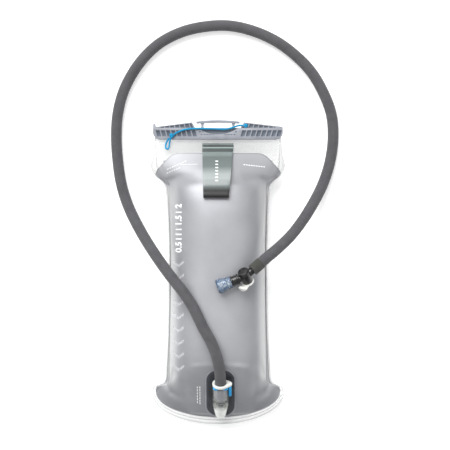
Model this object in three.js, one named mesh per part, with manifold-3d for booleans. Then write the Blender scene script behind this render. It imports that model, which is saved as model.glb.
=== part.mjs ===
// Insulated hydration bladder lying on its back, with its drink hose looped round it.
// Millimetres, +X to the right, +Y towards the slider, +Z up. The origin is on the surface that
// the bag lies on, under the middle of the bag and slider.
import * as THREE from 'three';
import * as BufferGeometryUtils from 'three/addons/utils/BufferGeometryUtils.js';
import Module from 'manifold-3d';

const wasm = await Module();
wasm.setup();

// ---- driving dimensions ----
const gap = 0.3; // running clearance between neighbouring pieces

// bag: welded pillow of two laminated faces
const film = 0.4; // thickness of the outer film
const foam = 2.0; // thickness of the insulation foam
const liner = 0.3; // thickness of the inner, drinking-water film
const frontRoundness = 2.6; // exponent of the front's cross-section
const backRoundness = 4; // exponent of the back's, flattened by the surface it lies on
const rimEllipse = { halfWidth: 83.6, sideY: -150, endY: -191.4 }; // outer edge of the bottom rim

// slider: closure that slides over the two welded rails
const slider = { halfLength: 81.5, bottom: 167.2, top: 181.4, centreZ: 22, halfThick: 6 };
const sliderSlot = { halfHeight: 1.5, lipTop: 171.5 };
const sliderChamber = { halfHeight: 3.6, top: 179.4 };
const sliderTravelEnd = 2; // wall that closes the slider's left end
const rail = { halfLength: 77, bottom: 172.1, top: 178.8, neckTop: 173.2, neckZ: 1.1, beadZ: 3.1 };
const handle = { halfWidth: 27.5, top: 191.4, post: 5.2, openingHalf: 17, openingTop: 186.7 };
const fin = { halfThick: 2.6, innerFoot: 28, innerTop: 32.6, innerHeight: 188.7, outerHeight: 182.4 };

// hanging strap: a flat loop welded to the bag's front below the slider
const strap = { halfWidth: 19.6, narrowing: 0.19, top: 158.2, fold: 100.5, ply: 1.0, loopGap: 9 };
const strapLift = 0.6; // height of the strap's lower ply over the film

// port: the plate welded low on the front, and the socket on it
const port = { x: 3.4, y: -149.75, z: 39.8, tilt: Math.PI / 6, axisHeight: 11.9, axisShift: 4 };
const patch = { halfWidth: 17.1, halfLength: 34.3, thick: 1.6, corner: 15 };
const weldRing = { width: 2.2, thick: 0.9 };
// where the front is pressed flat by the port's plate, and fades back into the pillow
const pressed = { fromSide: 9, toSide: 24, low: -181, lowFull: -176, highFull: -116, high: -100 };
const socket = { radius: 9.8, mouth: 13, shoulder: -13, end: -30.5, endRadius: 5.4 };
const socketBore = { wide: 8.5, narrow: 5.8, step: -4.2, end: -25.6 };
const poppetSeat = { radius: 4.4, top: -14.3, end: -15.3 }; // lip in the bore that the poppet shuts on
const socketOutlet = { radius: 3, at: -23 }; // way from the bore down into the bag
const socketNotch = { inner: 7.5, halfWidth: 4.4 }; // clearance for the release button's pad
const poppet = { radius: 5.2, top: -18.3, thick: 1.8, stem: 1.3, stemEnd: -22.5 };
const plug = { tipRadius: 3.1, tipEnd: -18, noseRadius: 4.9, noseEnd: -13.3, stemRadius: 4.2, bore: 2.2 };
const plugShell = { radius: 8.1, top: 12.6, end: -3.6, noseRadius: 6.4 };
const latch = { left: -9.4, bottom: 13.3, thick: 2.5, halfHeight: 7.4 }; // the release button's sliding plate
const button = { inner: 10, outer: 13.4, halfHeight: 3.6, bottom: 1.6, travel: 1.5 };
const flange = { bottom: 16.2, thick: 3.4, radius: 10.2, lobeX: 9.8, lobeRadius: 4.4, hole: 7.3 };
const oRing = { section: 0.7, groove: 0.9, upper: -8.1, lower: -11.4 };
const latchSpring = { from: 4.75, to: 9.2, radius: 0.9, wire: 0.22, window: 9.6, windowHalf: 1.5 };

// hose: insulated drink tube in a textile sleeve
const hose = { radius: 6.9, bore: 5.2, tube: 4.4, sides: 8, steps: 44 };
// the sleeve's centreline from the plug's flange to the cuff
const hoseRoute = [
  [3.4, -136.65, 61.1], [3.2, -129.0, 65.4], [2.2, -118.0, 70.5], [-0.8, -104.0, 74.2],
  [-7.0, -86.5, 75.2], [-19.2, -64.0, 74.4], [-29.9, -42.2, 72.4], [-42.1, -23.6, 68.5],
  [-60.4, -0.9, 59.0], [-79.8, 25.4, 42.0], [-98.1, 53.9, 23.0], [-113.8, 84.8, 9.8],
  [-122.4, 112.0, 7.2], [-126.8, 141.1, 7.2], [-128.6, 170.1, 7.2], [-127.0, 199.2, 7.2],
  [-119.8, 228.0, 7.2], [-106.5, 254.3, 7.2], [-90.0, 275.5, 7.2], [-70.6, 291.8, 7.2],
  [-44.0, 304.6, 7.2], [-14.9, 311.0, 7.2], [14.2, 311.9, 7.2], [43.2, 305.7, 7.2],
  [72.3, 293.0, 7.2], [97.4, 274.9, 7.2], [118.4, 253.0, 7.2], [134.6, 224.7, 7.2],
  [143.6, 199.2, 7.2], [145.7, 170.1, 7.2], [142.0, 141.1, 7.8], [132.6, 111.9, 13.0],
  [115.1, 79.2, 26.5], [92.7, 48.6, 46.0], [70.7, 28.0, 65.0], [60.6, 19.9, 70.4],
  [53.4, 13.6, 72.5],
];

// bite valve on the hose's end
const valveCentre = new THREE.Vector3(34, -3.3, 77.5);
const valveAxis = new THREE.Vector3(-0.355, 0.677, 0.643).normalize(); // the shut-off turns about it
const inletAxis = new THREE.Vector3(0.74, 0.645, -0.19).normalize();
const mouthAxis = new THREE.Vector3(-0.934, -0.356, -0.02).normalize();
const leverAxis = new THREE.Vector3(-0.524, -0.714, 0.464).normalize(); // way the lever's paddle points
const barrel = { radius: 6.6, low: -8.4, high: 5.6, bore: 4.5 };
const cap = { radius: 7.2, low: 5.9, rim: 7.6, top: 10.2 };
const core = { radius: 4.2, low: -8.6, high: 5.3, passage: 2.4 };
const leverDisc = { radius: 7.4, thick: 2.2, top: -8.9 };
const paddle = { reach: 14.8, halfWidth: 4.6, thick: 2.2, lip: 2.2 };
const inlet = { collar: 5.2, collarEnd: 11.2, barb: 3.4, end: 23.4, passage: 2.2 };
const neck = { radius: 4.6, groove: 3.7, grooveLow: 15, grooveHigh: 16.6, end: 17.4, passage: 2.6 };
const collar = { radius: 7.0, bore: 5.0, start: 8.6, end: 18.3 };
const cuff = { radius: 7.4, bore: 3.8, start: 11.6, end: 25.2 };
const mouthpiece = { start: 18.7, end: 37.2, halfWidth: 9.3, halfHeight: 7.6, wall: 2.0 };

// tether: cord that keeps the slider with the bag
const cord = { radius: 1.1, sides: 8 };
const tetherRun = [
  [32.2, 184.5, 27.4], [27.0, 184.6, 27.4], [22.4, 183.3, 29.2], [16.4, 181.2, 29.5], [8.6, 179.8, 29.5],
  [2.1, 180.0, 29.5], [-12, 180.4, 29.5], [-26.6, 180.6, 29.5], [-35.0, 180.3, 29.5], [-43.4, 178.8, 29.5],
  [-49.5, 176.4, 29.7], [-54.4, 173.4, 30.3],
];
const tetherLoop = [
  [-59.1, 168.3, 29.9], [-60.0, 166.0, 29.5], [-60.7, 162.0, 29.0], [-61.1, 158.0, 29.8],
  [-62.6, 154.9, 31.0], [-64.9, 155.6, 30.9], [-65.4, 159.9, 29.3], [-63.6, 164.6, 29.2],
  [-61.4, 168.6, 30.0],
];
const stopKnot = { x: 35.0, y: 184.2, z: 27.6, radius: 2.5 };
const nooseKnot = { x: -57.9, y: 171.7, z: 31.2, radius: 2.9 };

// Stations along the bag from the bottom weld to the slider: where the row's sides and middle are,
// the rim's and the weld's half-widths, the seam's height, and how far the faces stand off it.
const stations = [
  { side: -150, middle: -181.5, rim: 83.6, weld: 78, seam: 16, front: 0, back: 0 },
  { side: -144, middle: -170, rim: 81, weld: 71, seam: 17, front: 9.3, back: 13 },
  { side: -139.5, middle: -156, rim: 70, weld: 64, seam: 18.5, front: 16.5, back: 17 },
  { side: -134, middle: -140, rim: 66.3, weld: 61.5, seam: 20.5, front: 24, back: 19.8 },
  { side: -116, middle: -117, rim: 65.2, weld: 61, seam: 23, front: 33.5, back: 22.3 },
  { side: -85, middle: -85, rim: 63.6, weld: 60.3, seam: 25.5, front: 38.8, back: 24.8 },
  { side: -40, middle: -40, rim: 62.3, weld: 59.5, seam: 26, front: 40, back: 25.3 },
  { side: 10, middle: 10, rim: 61.8, weld: 59.2, seam: 26, front: 40, back: 25.3 },
  { side: 55, middle: 55, rim: 62.8, weld: 59.8, seam: 26, front: 40, back: 25.3 },
  { side: 88, middle: 87, rim: 64.3, weld: 60.5, seam: 25.5, front: 38.5, back: 24.8 },
  { side: 107, middle: 107, rim: 65.8, weld: 61, seam: 24.5, front: 35, back: 23.8 },
  { side: 114, middle: 117, rim: 70, weld: 62.5, seam: 24.2, front: 30.5, back: 23.2 },
  { side: 122, middle: 127, rim: 79, weld: 65.5, seam: 24, front: 25, back: 21.5 },
  { side: 134, middle: 138, rim: 84.2, weld: 70, seam: 23.5, front: 18, back: 18 },
  { side: 148, middle: 150, rim: 81, weld: 74, seam: 23, front: 10.5, back: 11 },
  { side: 160, middle: 160.5, rim: 79.4, weld: 76, seam: 22.4, front: 4.5, back: 4.5 },
  { side: 166.3, middle: 166.3, rim: 79, weld: 77, seam: 22, front: 0.2, back: 0.2 },
  { side: 171.8, middle: 171.8, rim: 79, weld: 77, seam: 22, front: 0, back: 0 },
];

const colour = {
  clearFilm: 0xd9dbd8, silver: 0xc4c6cc, liner: 0xe4ecee, slider: 0x969aa2, strap: 0x788482,
  cord: 0x14aae1, darkPlate: 0x464a4e, border: 0x9a9ca2, frosted: 0xdfe2dc, grey: 0x8b8d92,
  blue: 0x2fa3dc, white: 0xe6e6e0, sleeve: 0x48484a, black: 0x1b1b1d, steel: 0xb8bcc0, silicone: 0xd5dfe6,
};

const bladder = new THREE.Group();

// ---- shared making ----

function finish(hex, roughness = 0.5, metalness = 0) {
  return new THREE.MeshStandardMaterial({ color: hex, roughness, metalness });
}

function addPart(parent, name, geometry, material) {
  const mesh = new THREE.Mesh(geometry, material);
  mesh.name = name;
  parent.add(mesh);
  return mesh;
}

// A closed three.js geometry as a solid that can be joined and cut.
function solid(geometry) {
  const bare = new THREE.BufferGeometry();
  bare.setAttribute('position', geometry.getAttribute('position'));
  if (geometry.index) bare.setIndex(geometry.index);
  const merged = BufferGeometryUtils.mergeVertices(bare, 1e-4);
  const vertProperties = new Float32Array(merged.getAttribute('position').array);
  const triVerts = new Uint32Array(merged.index.array);
  return new wasm.Manifold(new wasm.Mesh({ numProp: 3, vertProperties, triVerts }));
}

function fromSolid(body) {
  const mesh = body.getMesh();
  const geometry = new THREE.BufferGeometry();
  geometry.setAttribute('position', new THREE.BufferAttribute(mesh.vertProperties, 3));
  geometry.setIndex(new THREE.BufferAttribute(mesh.triVerts, 1));
  return geometry;
}

// A group whose +Y runs along the given direction from the given point.
function axisGroup(origin, direction) {
  const group = new THREE.Group();
  group.position.copy(origin);
  group.quaternion.setFromUnitVectors(new THREE.Vector3(0, 1, 0), direction);
  return group;
}

function lathe(profile, sides = 20) {
  return new THREE.LatheGeometry(profile.map(([r, y]) => new THREE.Vector2(r, y)), sides);
}

// A plain cylinder on Y from one height to another.
function post(radius, low, high, sides = 20) {
  return lathe([[0, low], [radius, low], [radius, high], [0, high]], sides);
}

function block(x0, x1, y0, y1, z0, z1) {
  const box = new THREE.BoxGeometry(x1 - x0, y1 - y0, z1 - z0);
  return box.translate((x0 + x1) / 2, (y0 + y1) / 2, (z0 + z1) / 2);
}

function ring(radius, section, height, sides = 20) {
  const torus = new THREE.TorusGeometry(radius, section, 6, sides);
  return torus.rotateX(Math.PI / 2).translate(0, height, 0);
}

function sweep(points, radius, sides, steps, bore = 0) {
  const path = new THREE.CatmullRomCurve3(points.map((p) => new THREE.Vector3(...p)));
  const section = polygon(radius, sides);
  if (bore > 0) section.holes.push(polygon(bore, sides));
  return new THREE.ExtrudeGeometry(section, { steps, extrudePath: path, bevelEnabled: false });
}

function polygon(radius, sides) {
  const shape = new THREE.Shape();
  for (let i = 0; i < sides; i++) {
    const angle = (2 * Math.PI * i) / sides;
    shape[i ? 'lineTo' : 'moveTo'](radius * Math.cos(angle), radius * Math.sin(angle));
  }
  shape.closePath();
  return shape;
}

// A shape in Y and Z, extruded along X to both sides, at a height.
function lengthwise(shape, halfLength, height) {
  const bar = new THREE.ExtrudeGeometry(shape, { depth: 2 * halfLength, bevelEnabled: false });
  const turn = new THREE.Matrix4().set(0, 0, 1, -halfLength, 1, 0, 0, 0, 0, 1, 0, height, 0, 0, 0, 1);
  return bar.applyMatrix4(turn);
}

function coil(radius, wire, low, high, turns, perTurn = 10) {
  const points = [];
  for (let i = 0; i <= turns * perTurn; i++) {
    const angle = (2 * Math.PI * i) / perTurn;
    const height = low + ((high - low) * i) / (turns * perTurn);
    points.push([radius * Math.cos(angle), height, radius * Math.sin(angle)]);
  }
  return sweep(points, wire, 6, turns * perTurn);
}

// ---- the bag's surface ----

// Value of one station column at a place along the bag, by a cubic that never overshoots.
function alongBag(key, place) {
  const last = stations.length - 1;
  const i = Math.min(Math.floor(place), last - 1);
  const at = (k) => stations[Math.min(Math.max(k, 0), last)][key];
  const slope = (k) => {
    const before = at(k) - at(k - 1);
    const after = at(k + 1) - at(k);
    return before * after > 0 ? (2 * before * after) / (before + after) : 0;
  };
  const f = place - i;
  const rise = at(i + 1) - at(i);
  const m0 = i === 0 ? rise : slope(i);
  const m1 = i === last - 1 ? rise : slope(i + 1);
  const f2 = f * f;
  const f3 = f2 * f;
  const ends = at(i) * (2 * f3 - 3 * f2 + 1) + at(i + 1) * (3 * f2 - 2 * f3);
  return ends + m0 * (f3 - 2 * f2 + f) + m1 * (f3 - f2);
}

// Height of the port's plate over the surface, under its lower face.
function portPlane(y) {
  return port.z - 2 * gap + (y - port.y) * Math.tan(port.tilt);
}

function smooth(from, to, value) {
  const f = Math.min(Math.max((value - from) / (to - from), 0), 1);
  return f * f * (3 - 2 * f);
}

// How far the stiff port plate presses the front flat, from 0 to 1.
function pressedFlat(x, y) {
  const { fromSide, toSide, low, lowFull, highFull, high } = pressed;
  const across = 1 - smooth(patch.halfWidth + fromSide, patch.halfWidth + toSide, Math.abs(x - port.x));
  return across * (1 - smooth(highFull, high, y)) * smooth(low, lowFull, y);
}

// A point of the bag: across from -1 to 1 between the side welds, place along the stations,
// face 1 for the front and -1 for the back. It is on the outer side of the outer film.
function bagPoint(across, place, face) {
  const side = alongBag('side', place);
  const middle = alongBag('middle', place);
  const seam = alongBag('seam', place);
  const x = across * alongBag('weld', place);
  const y = side + (middle - side) * Math.sqrt(Math.max(0, 1 - across * across));
  const t = Math.abs(across);
  if (face < 0) {
    const drop = alongBag('back', place) * Math.cbrt(Math.max(0, 1 - t ** backRoundness));
    return new THREE.Vector3(x, y, seam - gap - film - drop);
  }
  const rise = alongBag('front', place) * Math.sqrt(Math.max(0, 1 - t ** frontRoundness));
  const natural = seam + gap + film + rise;
  return new THREE.Vector3(x, y, THREE.MathUtils.lerp(natural, portPlane(y), pressedFlat(x, y)));
}

function bagNormal(across, place, face) {
  const e = 0.01;
  const last = stations.length - 1;
  const u0 = bagPoint(Math.max(across - e, -1), place, face);
  const u1 = bagPoint(Math.min(across + e, 1), place, face);
  const v0 = bagPoint(across, Math.max(place - e, 0), face);
  const v1 = bagPoint(across, Math.min(place + e, last), face);
  return u1.sub(u0).cross(v1.sub(v0)).normalize().multiplyScalar(face);
}

// Closed shell from two grids of points with the same rows and columns.
function shell(outer, inner) {
  const rows = outer.length;
  const columns = outer[0].length;
  const position = [];
  for (const grid of [outer, inner]) {
    for (const row of grid) {
      for (const p of row) position.push(p.x, p.y, p.z);
    }
  }
  const top = (r, c) => r * columns + c;
  const under = (r, c) => rows * columns + r * columns + c;
  const index = [];
  const quad = (a, b, c, d) => index.push(a, b, c, a, c, d);
  for (let r = 0; r < rows - 1; r++) {
    for (let c = 0; c < columns - 1; c++) {
      quad(top(r, c), top(r, c + 1), top(r + 1, c + 1), top(r + 1, c));
      quad(under(r, c), under(r + 1, c), under(r + 1, c + 1), under(r, c + 1));
    }
  }
  for (let c = 0; c < columns - 1; c++) {
    quad(top(0, c), under(0, c), under(0, c + 1), top(0, c + 1));
    quad(top(rows - 1, c), top(rows - 1, c + 1), under(rows - 1, c + 1), under(rows - 1, c));
  }
  const right = columns - 1;
  for (let r = 0; r < rows - 1; r++) {
    quad(top(r, 0), top(r + 1, 0), under(r + 1, 0), under(r, 0));
    quad(top(r, right), under(r, right), under(r + 1, right), top(r + 1, right));
  }
  const geometry = new THREE.BufferGeometry();
  geometry.setAttribute('position', new THREE.Float32BufferAttribute(position, 3));
  geometry.setIndex(index);
  return geometry;
}

// The back's grids run the other way round, so that its faces also point out.
function facing(grid, face) {
  return face > 0 ? grid : grid.map((row) => [...row].reverse());
}

const lastFilledStation = 14; // above it the two faces close on each other
const acrossSteps = [-1, -0.97, -0.89, -0.77, -0.6, -0.4, -0.2, 0, 0.2, 0.4, 0.6, 0.77, 0.89, 0.97, 1];

// Outer film: the pillow and the flat welded rim round its sides and bottom.
function outerFilm(face) {
  const outer = [];
  const inner = [];
  const flatNormal = new THREE.Vector3(0, 0, face);
  const rimPoint = (x, y, seam) => new THREE.Vector3(x, y, seam + face * (gap + film));
  const push = (points, normals) => {
    outer.push(points);
    inner.push(points.map((p, i) => p.clone().addScaledVector(normals[i], -film)));
  };
  const ends = [-1, ...acrossSteps, 1];
  const bottomSeam = stations[0].seam;
  const reach = rimEllipse.sideY - rimEllipse.endY;
  const edge = ends.map((a, i) => {
    const last = ends.length - 1;
    const t = i === 0 || i === last ? a : a * 0.99;
    const x = t * rimEllipse.halfWidth;
    return rimPoint(x, rimEllipse.sideY - reach * Math.sqrt(Math.max(0, 1 - t * t)), bottomSeam);
  });
  edge[0].y -= 1.5;
  edge[ends.length - 1].y -= 1.5;
  push(edge, edge.map(() => flatNormal));
  for (let place = 0; place < stations.length; place++) {
    const { rim, side, seam } = stations[place];
    const row = acrossSteps.map((a) => bagPoint(a, place, face));
    const normals = acrossSteps.map((a) => {
      const flat = Math.abs(a) === 1 || place === 0 || place > lastFilledStation;
      return flat ? flatNormal : bagNormal(a, place, face);
    });
    const left = rimPoint(-rim, side, seam);
    const right = rimPoint(rim, side, seam);
    push([left, ...row, right], [flatNormal, ...normals, flatNormal]);
  }
  return shell(facing(outer, face), facing(inner, face));
}

// A layer inside the outer film, at a depth under the bag's outer surface. It stops short of the
// welds, and its rows and columns are the outer film's, so that the facets stay parallel.
function innerLayer(face, depth, thick) {
  const outer = [];
  const inner = [];
  const columns = acrossSteps.slice(1, -1);
  for (let place = 1; place <= lastFilledStation; place++) {
    const points = columns.map((a) => bagPoint(a, place, face));
    const normals = columns.map((a) => bagNormal(a, place, face));
    outer.push(points.map((p, i) => p.clone().addScaledVector(normals[i], -depth)));
    inner.push(points.map((p, i) => p.clone().addScaledVector(normals[i], -depth - thick)));
  }
  return shell(facing(outer, face), facing(inner, face));
}

function addBag() {
  const foamDepth = film + gap;
  const linerDepth = foamDepth + foam + gap;
  for (const [side, face] of [['front', 1], ['back', -1]]) {
    addPart(bladder, `${side}_film`, outerFilm(face), finish(colour.clearFilm, 0.35));
    addPart(bladder, `${side}_insulation`, innerLayer(face, foamDepth, foam), finish(colour.silver, 0.6));
    addPart(bladder, `${side}_liner`, innerLayer(face, linerDepth, liner), finish(colour.liner, 0.3));
  }
}

// ---- closure ----

// Welded rail of one face: a flat neck and a bead that the slider's chamber holds.
function railGeometry(face) {
  const start = 0.35;
  const outline = [
    [rail.bottom, start], [rail.neckTop, start], [rail.top, start], [rail.top - 0.6, rail.beadZ],
    [rail.neckTop + 1.2, rail.beadZ], [rail.neckTop, rail.neckZ], [rail.bottom, rail.neckZ],
  ];
  const shape = new THREE.Shape(outline.map(([y, z]) => new THREE.Vector2(y, face * z)));
  return lengthwise(shape, rail.halfLength, slider.centreZ);
}

function sliderChannel() {
  const { bottom, top, halfThick, halfLength, centreZ } = slider;
  const bevel = 1.4;
  const outline = [
    [bottom, -sliderSlot.halfHeight], [bottom, -halfThick + bevel], [bottom + bevel, -halfThick],
    [top - bevel, -halfThick], [top, -halfThick + bevel], [top, halfThick - bevel], [top - bevel, halfThick],
    [bottom + bevel, halfThick], [bottom, halfThick - bevel], [bottom, sliderSlot.halfHeight],
    [sliderSlot.lipTop, sliderSlot.halfHeight], [sliderSlot.lipTop, sliderChamber.halfHeight],
    [sliderChamber.top, sliderChamber.halfHeight], [sliderChamber.top, -sliderChamber.halfHeight],
    [sliderSlot.lipTop, -sliderChamber.halfHeight], [sliderSlot.lipTop, -sliderSlot.halfHeight],
  ];
  const shape = new THREE.Shape(outline.map(([y, z]) => new THREE.Vector2(y, z)));
  return solid(lengthwise(shape, halfLength, centreZ));
}

// The plate along the slider's top: a sloping fin on each half and the handle between them.
function sliderTopPlate() {
  const root = slider.top - 0.8;
  const left = new THREE.Shape();
  left.moveTo(-slider.halfLength, root);
  left.lineTo(-fin.innerFoot, root);
  left.lineTo(-fin.innerTop, fin.innerHeight);
  left.lineTo(-slider.halfLength + 3.5, fin.outerHeight);
  left.lineTo(-slider.halfLength + 3, 186);
  left.lineTo(-slider.halfLength, 186.4);
  const right = new THREE.Shape();
  right.moveTo(slider.halfLength, root);
  right.lineTo(slider.halfLength, fin.outerHeight + 0.4);
  right.lineTo(fin.innerTop, fin.innerHeight);
  right.lineTo(fin.innerFoot, root);
  const arch = new THREE.Shape();
  const { halfWidth, top, post: postWidth, openingHalf, openingTop } = handle;
  const postX = openingHalf + postWidth;
  arch.moveTo(-postX, root);
  arch.lineTo(-postX, openingTop);
  arch.lineTo(-halfWidth, top - 3.4);
  arch.lineTo(-halfWidth, top - 1.8);
  arch.quadraticCurveTo(0, top + 1.8, halfWidth, top - 1.8);
  arch.lineTo(halfWidth, top - 3.4);
  arch.lineTo(postX, openingTop);
  arch.lineTo(postX, root);
  const opening = new THREE.Path();
  opening.moveTo(-openingHalf, slider.top);
  opening.lineTo(openingHalf, slider.top);
  opening.lineTo(openingHalf, openingTop);
  opening.lineTo(-openingHalf, openingTop);
  arch.holes.push(opening);
  const plates = [left, right, arch].map((shape) => {
    const plate = new THREE.ExtrudeGeometry(shape, { depth: 2 * fin.halfThick, bevelEnabled: false });
    return solid(plate.translate(0, 0, slider.centreZ - fin.halfThick));
  });
  return plates[0].add(plates[1]).add(plates[2]);
}

function addClosure() {
  addPart(bladder, 'front_rail', railGeometry(1), finish(colour.clearFilm, 0.4));
  addPart(bladder, 'back_rail', railGeometry(-1), finish(colour.clearFilm, 0.4));
  const endWall = block(
    -slider.halfLength, -slider.halfLength + sliderTravelEnd,
    slider.bottom + 1.4, slider.top - 1.4,
    slider.centreZ - slider.halfThick + 1.4, slider.centreZ + slider.halfThick - 1.4,
  );
  const body = sliderChannel().add(sliderTopPlate()).add(solid(endWall));
  addPart(bladder, 'slider', fromSolid(body), finish(colour.slider, 0.5));
}

// ---- tether ----

function addTether() {
  const material = finish(colour.cord, 0.7);
  addPart(bladder, 'tether_cord', sweep(tetherRun, cord.radius, cord.sides, 26), material);
  addPart(bladder, 'tether_loop', sweep(tetherLoop, cord.radius, cord.sides, 18), material);
  for (const [name, knot] of [['tether_stop_knot', stopKnot], ['tether_noose_knot', nooseKnot]]) {
    const ball = new THREE.SphereGeometry(knot.radius, 10, 8);
    addPart(bladder, name, ball, material).position.set(knot.x, knot.y, knot.z);
  }
}

// ---- hanging strap ----

function frontHeight(y) {
  let low = 0;
  let high = stations.length - 1;
  for (let i = 0; i < 40; i++) {
    const place = (low + high) / 2;
    if (alongBag('middle', place) < y) low = place;
    else high = place;
  }
  return bagPoint(0, low, 1).z;
}

// The strap's side outline: a teardrop loop whose two plies meet at the weld.
function strapOutline(inset) {
  const { top, fold, ply, loopGap } = strap;
  const radius = loopGap / 2 + ply - inset;
  const base = frontHeight(fold) + strapLift + ply + loopGap / 2;
  const lower = [];
  const upper = [];
  const close = inset > 0 ? top - 12 : top;
  const steps = 12;
  for (let i = 0; i <= steps; i++) {
    const y = close + ((fold - close) * i) / steps;
    const open = smooth(top - 10, fold + 8, y) * loopGap;
    const z = frontHeight(y) + strapLift;
    lower.push(new THREE.Vector2(y, z + inset));
    upper.push(new THREE.Vector2(y, z + 2 * ply + Math.max(open, 0.2) - inset));
  }
  const arc = [];
  for (let i = 1; i < 8; i++) {
    const angle = -Math.PI / 2 - (Math.PI * i) / 8;
    arc.push(new THREE.Vector2(fold + radius * Math.cos(angle), base + radius * Math.sin(angle)));
  }
  return [...upper, ...arc.reverse(), ...lower.reverse()];
}

function addStrap() {
  const outline = new THREE.Shape(strapOutline(0));
  outline.holes.push(new THREE.Path(strapOutline(strap.ply)));
  const band = lengthwise(outline, strap.halfWidth, 0);
  const position = band.getAttribute('position');
  for (let i = 0; i < position.count; i++) {
    const down = Math.min(Math.max((strap.top - position.getY(i)) / (strap.top - strap.fold), 0), 1);
    const centre = -2 * down;
    position.setX(i, position.getX(i) * (1 - strap.narrowing * down) + centre);
  }
  addPart(bladder, 'hang_strap', band, finish(colour.strap, 0.45));
  const anchor = new THREE.BoxGeometry(2 * strap.halfWidth, 3.4, 1.4);
  const bar = addPart(bladder, 'strap_anchor', anchor, finish(colour.strap, 0.45));
  const anchorY = strap.top + 2.3;
  bar.position.set(0, anchorY, frontHeight(anchorY) + 1.9);
  bar.rotation.x = Math.atan2(frontHeight(anchorY + 1) - frontHeight(anchorY - 1), 2);
}

// ---- port and the plug in it ----

function roundedPlate(halfWidth, halfLength, corner) {
  const shape = new THREE.Shape();
  const arc = (cx, cy, from) => shape.absarc(cx, cy, corner, from, from + Math.PI / 2, false);
  shape.moveTo(halfWidth, -halfLength + corner);
  arc(halfWidth - corner, halfLength - corner, 0);
  arc(-halfWidth + corner, halfLength - corner, Math.PI / 2);
  arc(-halfWidth + corner, -halfLength + corner, Math.PI);
  arc(halfWidth - corner, -halfLength + corner, -Math.PI / 2);
  return shape;
}

function socketGeometry() {
  const outside = lathe([
    [0, socket.end], [socket.endRadius, socket.end], [socket.endRadius + 1.2, socket.end + 2.5],
    [socket.radius, socket.shoulder], [socket.radius, socket.mouth], [0, socket.mouth],
  ], 24);
  const bore = lathe([
    [0, socketBore.end], [socketBore.narrow, socketBore.end], [socketBore.narrow, poppetSeat.end],
    [poppetSeat.radius, poppetSeat.end], [poppetSeat.radius, poppetSeat.top],
    [socketBore.narrow, poppetSeat.top], [socketBore.narrow, socketBore.step],
    [socketBore.wide, socketBore.step], [socketBore.wide, socket.mouth + 1], [0, socket.mouth + 1],
  ], 24);
  const outlet = post(socketOutlet.radius, 0, socket.radius + 2, 16);
  outlet.rotateX(-Math.PI / 2).translate(0, socketOutlet.at, 0);
  const { inner, halfWidth } = socketNotch;
  const notch = block(inner, socket.radius + 1, button.bottom - 1, socket.mouth + 1, -halfWidth, halfWidth);
  return fromSolid(solid(outside).subtract(solid(bore)).subtract(solid(outlet)).subtract(solid(notch)));
}

function upright(shape, depth, curveSegments = 6) {
  return new THREE.ExtrudeGeometry(shape, { depth, bevelEnabled: false, curveSegments });
}

function addPort(frame) {
  const grown = (reach) => {
    return roundedPlate(patch.halfWidth + reach, patch.halfLength + reach, patch.corner + reach);
  };
  addPart(frame, 'port_patch', upright(grown(0), patch.thick), finish(colour.darkPlate, 0.55));
  const ringShape = grown(gap + weldRing.width);
  ringShape.holes.push(grown(gap));
  addPart(frame, 'port_weld_ring', upright(ringShape, weldRing.thick), finish(colour.border, 0.5));
  const line = new THREE.Group();
  line.position.set(0, port.axisShift, port.axisHeight);
  frame.add(line);
  addPart(line, 'port_socket', socketGeometry(), finish(colour.frosted, 0.3));
  const disc = lathe([
    [0, poppet.stemEnd], [poppet.stem, poppet.stemEnd], [poppet.stem, poppet.top - poppet.thick],
    [poppet.radius, poppet.top - poppet.thick], [poppet.radius, poppet.top - 0.9], [4.0, poppet.top - 0.9],
    [4.0, poppet.top], [0, poppet.top],
  ]);
  addPart(line, 'poppet', disc, finish(colour.white, 0.4));
  const seal = ring(4.75, 0.4, poppet.top - 0.3);
  addPart(line, 'poppet_seal', seal, finish(colour.black, 0.7));
  const springTop = poppet.top - poppet.thick - 0.7;
  const spring = coil(3.4, 0.35, socketBore.end + 0.7, springTop, 3);
  addPart(line, 'poppet_spring', spring, finish(colour.steel, 0.3, 1));
  return line;
}

function plugStem() {
  const end = flange.bottom + flange.thick - 2.4;
  const grooved = [oRing.lower, oRing.upper].flatMap((height) => [
    [plug.noseRadius, height - 0.85], [plug.noseRadius - oRing.groove, height - 0.85],
    [plug.noseRadius - oRing.groove, height + 0.85], [plug.noseRadius, height + 0.85],
  ]);
  return lathe([
    [plug.bore, plug.tipEnd], [plug.tipRadius, plug.tipEnd], [plug.tipRadius, plug.noseEnd],
    [plug.noseRadius, plug.noseEnd + 0.5], ...grooved, [plug.noseRadius, -5], [plug.stemRadius, -4],
    [plug.stemRadius, end], [plug.bore, end], [plug.bore, plug.tipEnd],
  ], 16);
}

// The release button: a pad on the right, joined to a latch plate that goes round the stem.
function buttonGeometry() {
  const { bottom, thick, halfHeight } = latch;
  const top = bottom + thick;
  const plate = solid(block(latch.left, button.inner + 1, bottom, top, -halfHeight, halfHeight));
  const { inner, outer, halfHeight: padHalf, bottom: padBottom, travel } = button;
  const pad = solid(block(inner, outer, padBottom, top, -padHalf, padHalf));
  const slotRadius = plug.stemRadius + gap;
  const round = post(slotRadius, bottom - 1, top + 1, 18);
  const far = solid(round.clone().translate(travel + gap, 0, 0));
  const between = solid(block(0, travel + gap, bottom - 1, top + 1, -slotRadius, slotRadius));
  const { window, windowHalf } = latchSpring;
  const springWindow = solid(block(0, window, bottom - 1, top + 1, -windowHalf, windowHalf));
  const slot = solid(round).add(far).add(between);
  return fromSolid(plate.add(pad).subtract(slot).subtract(springWindow));
}

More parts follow.
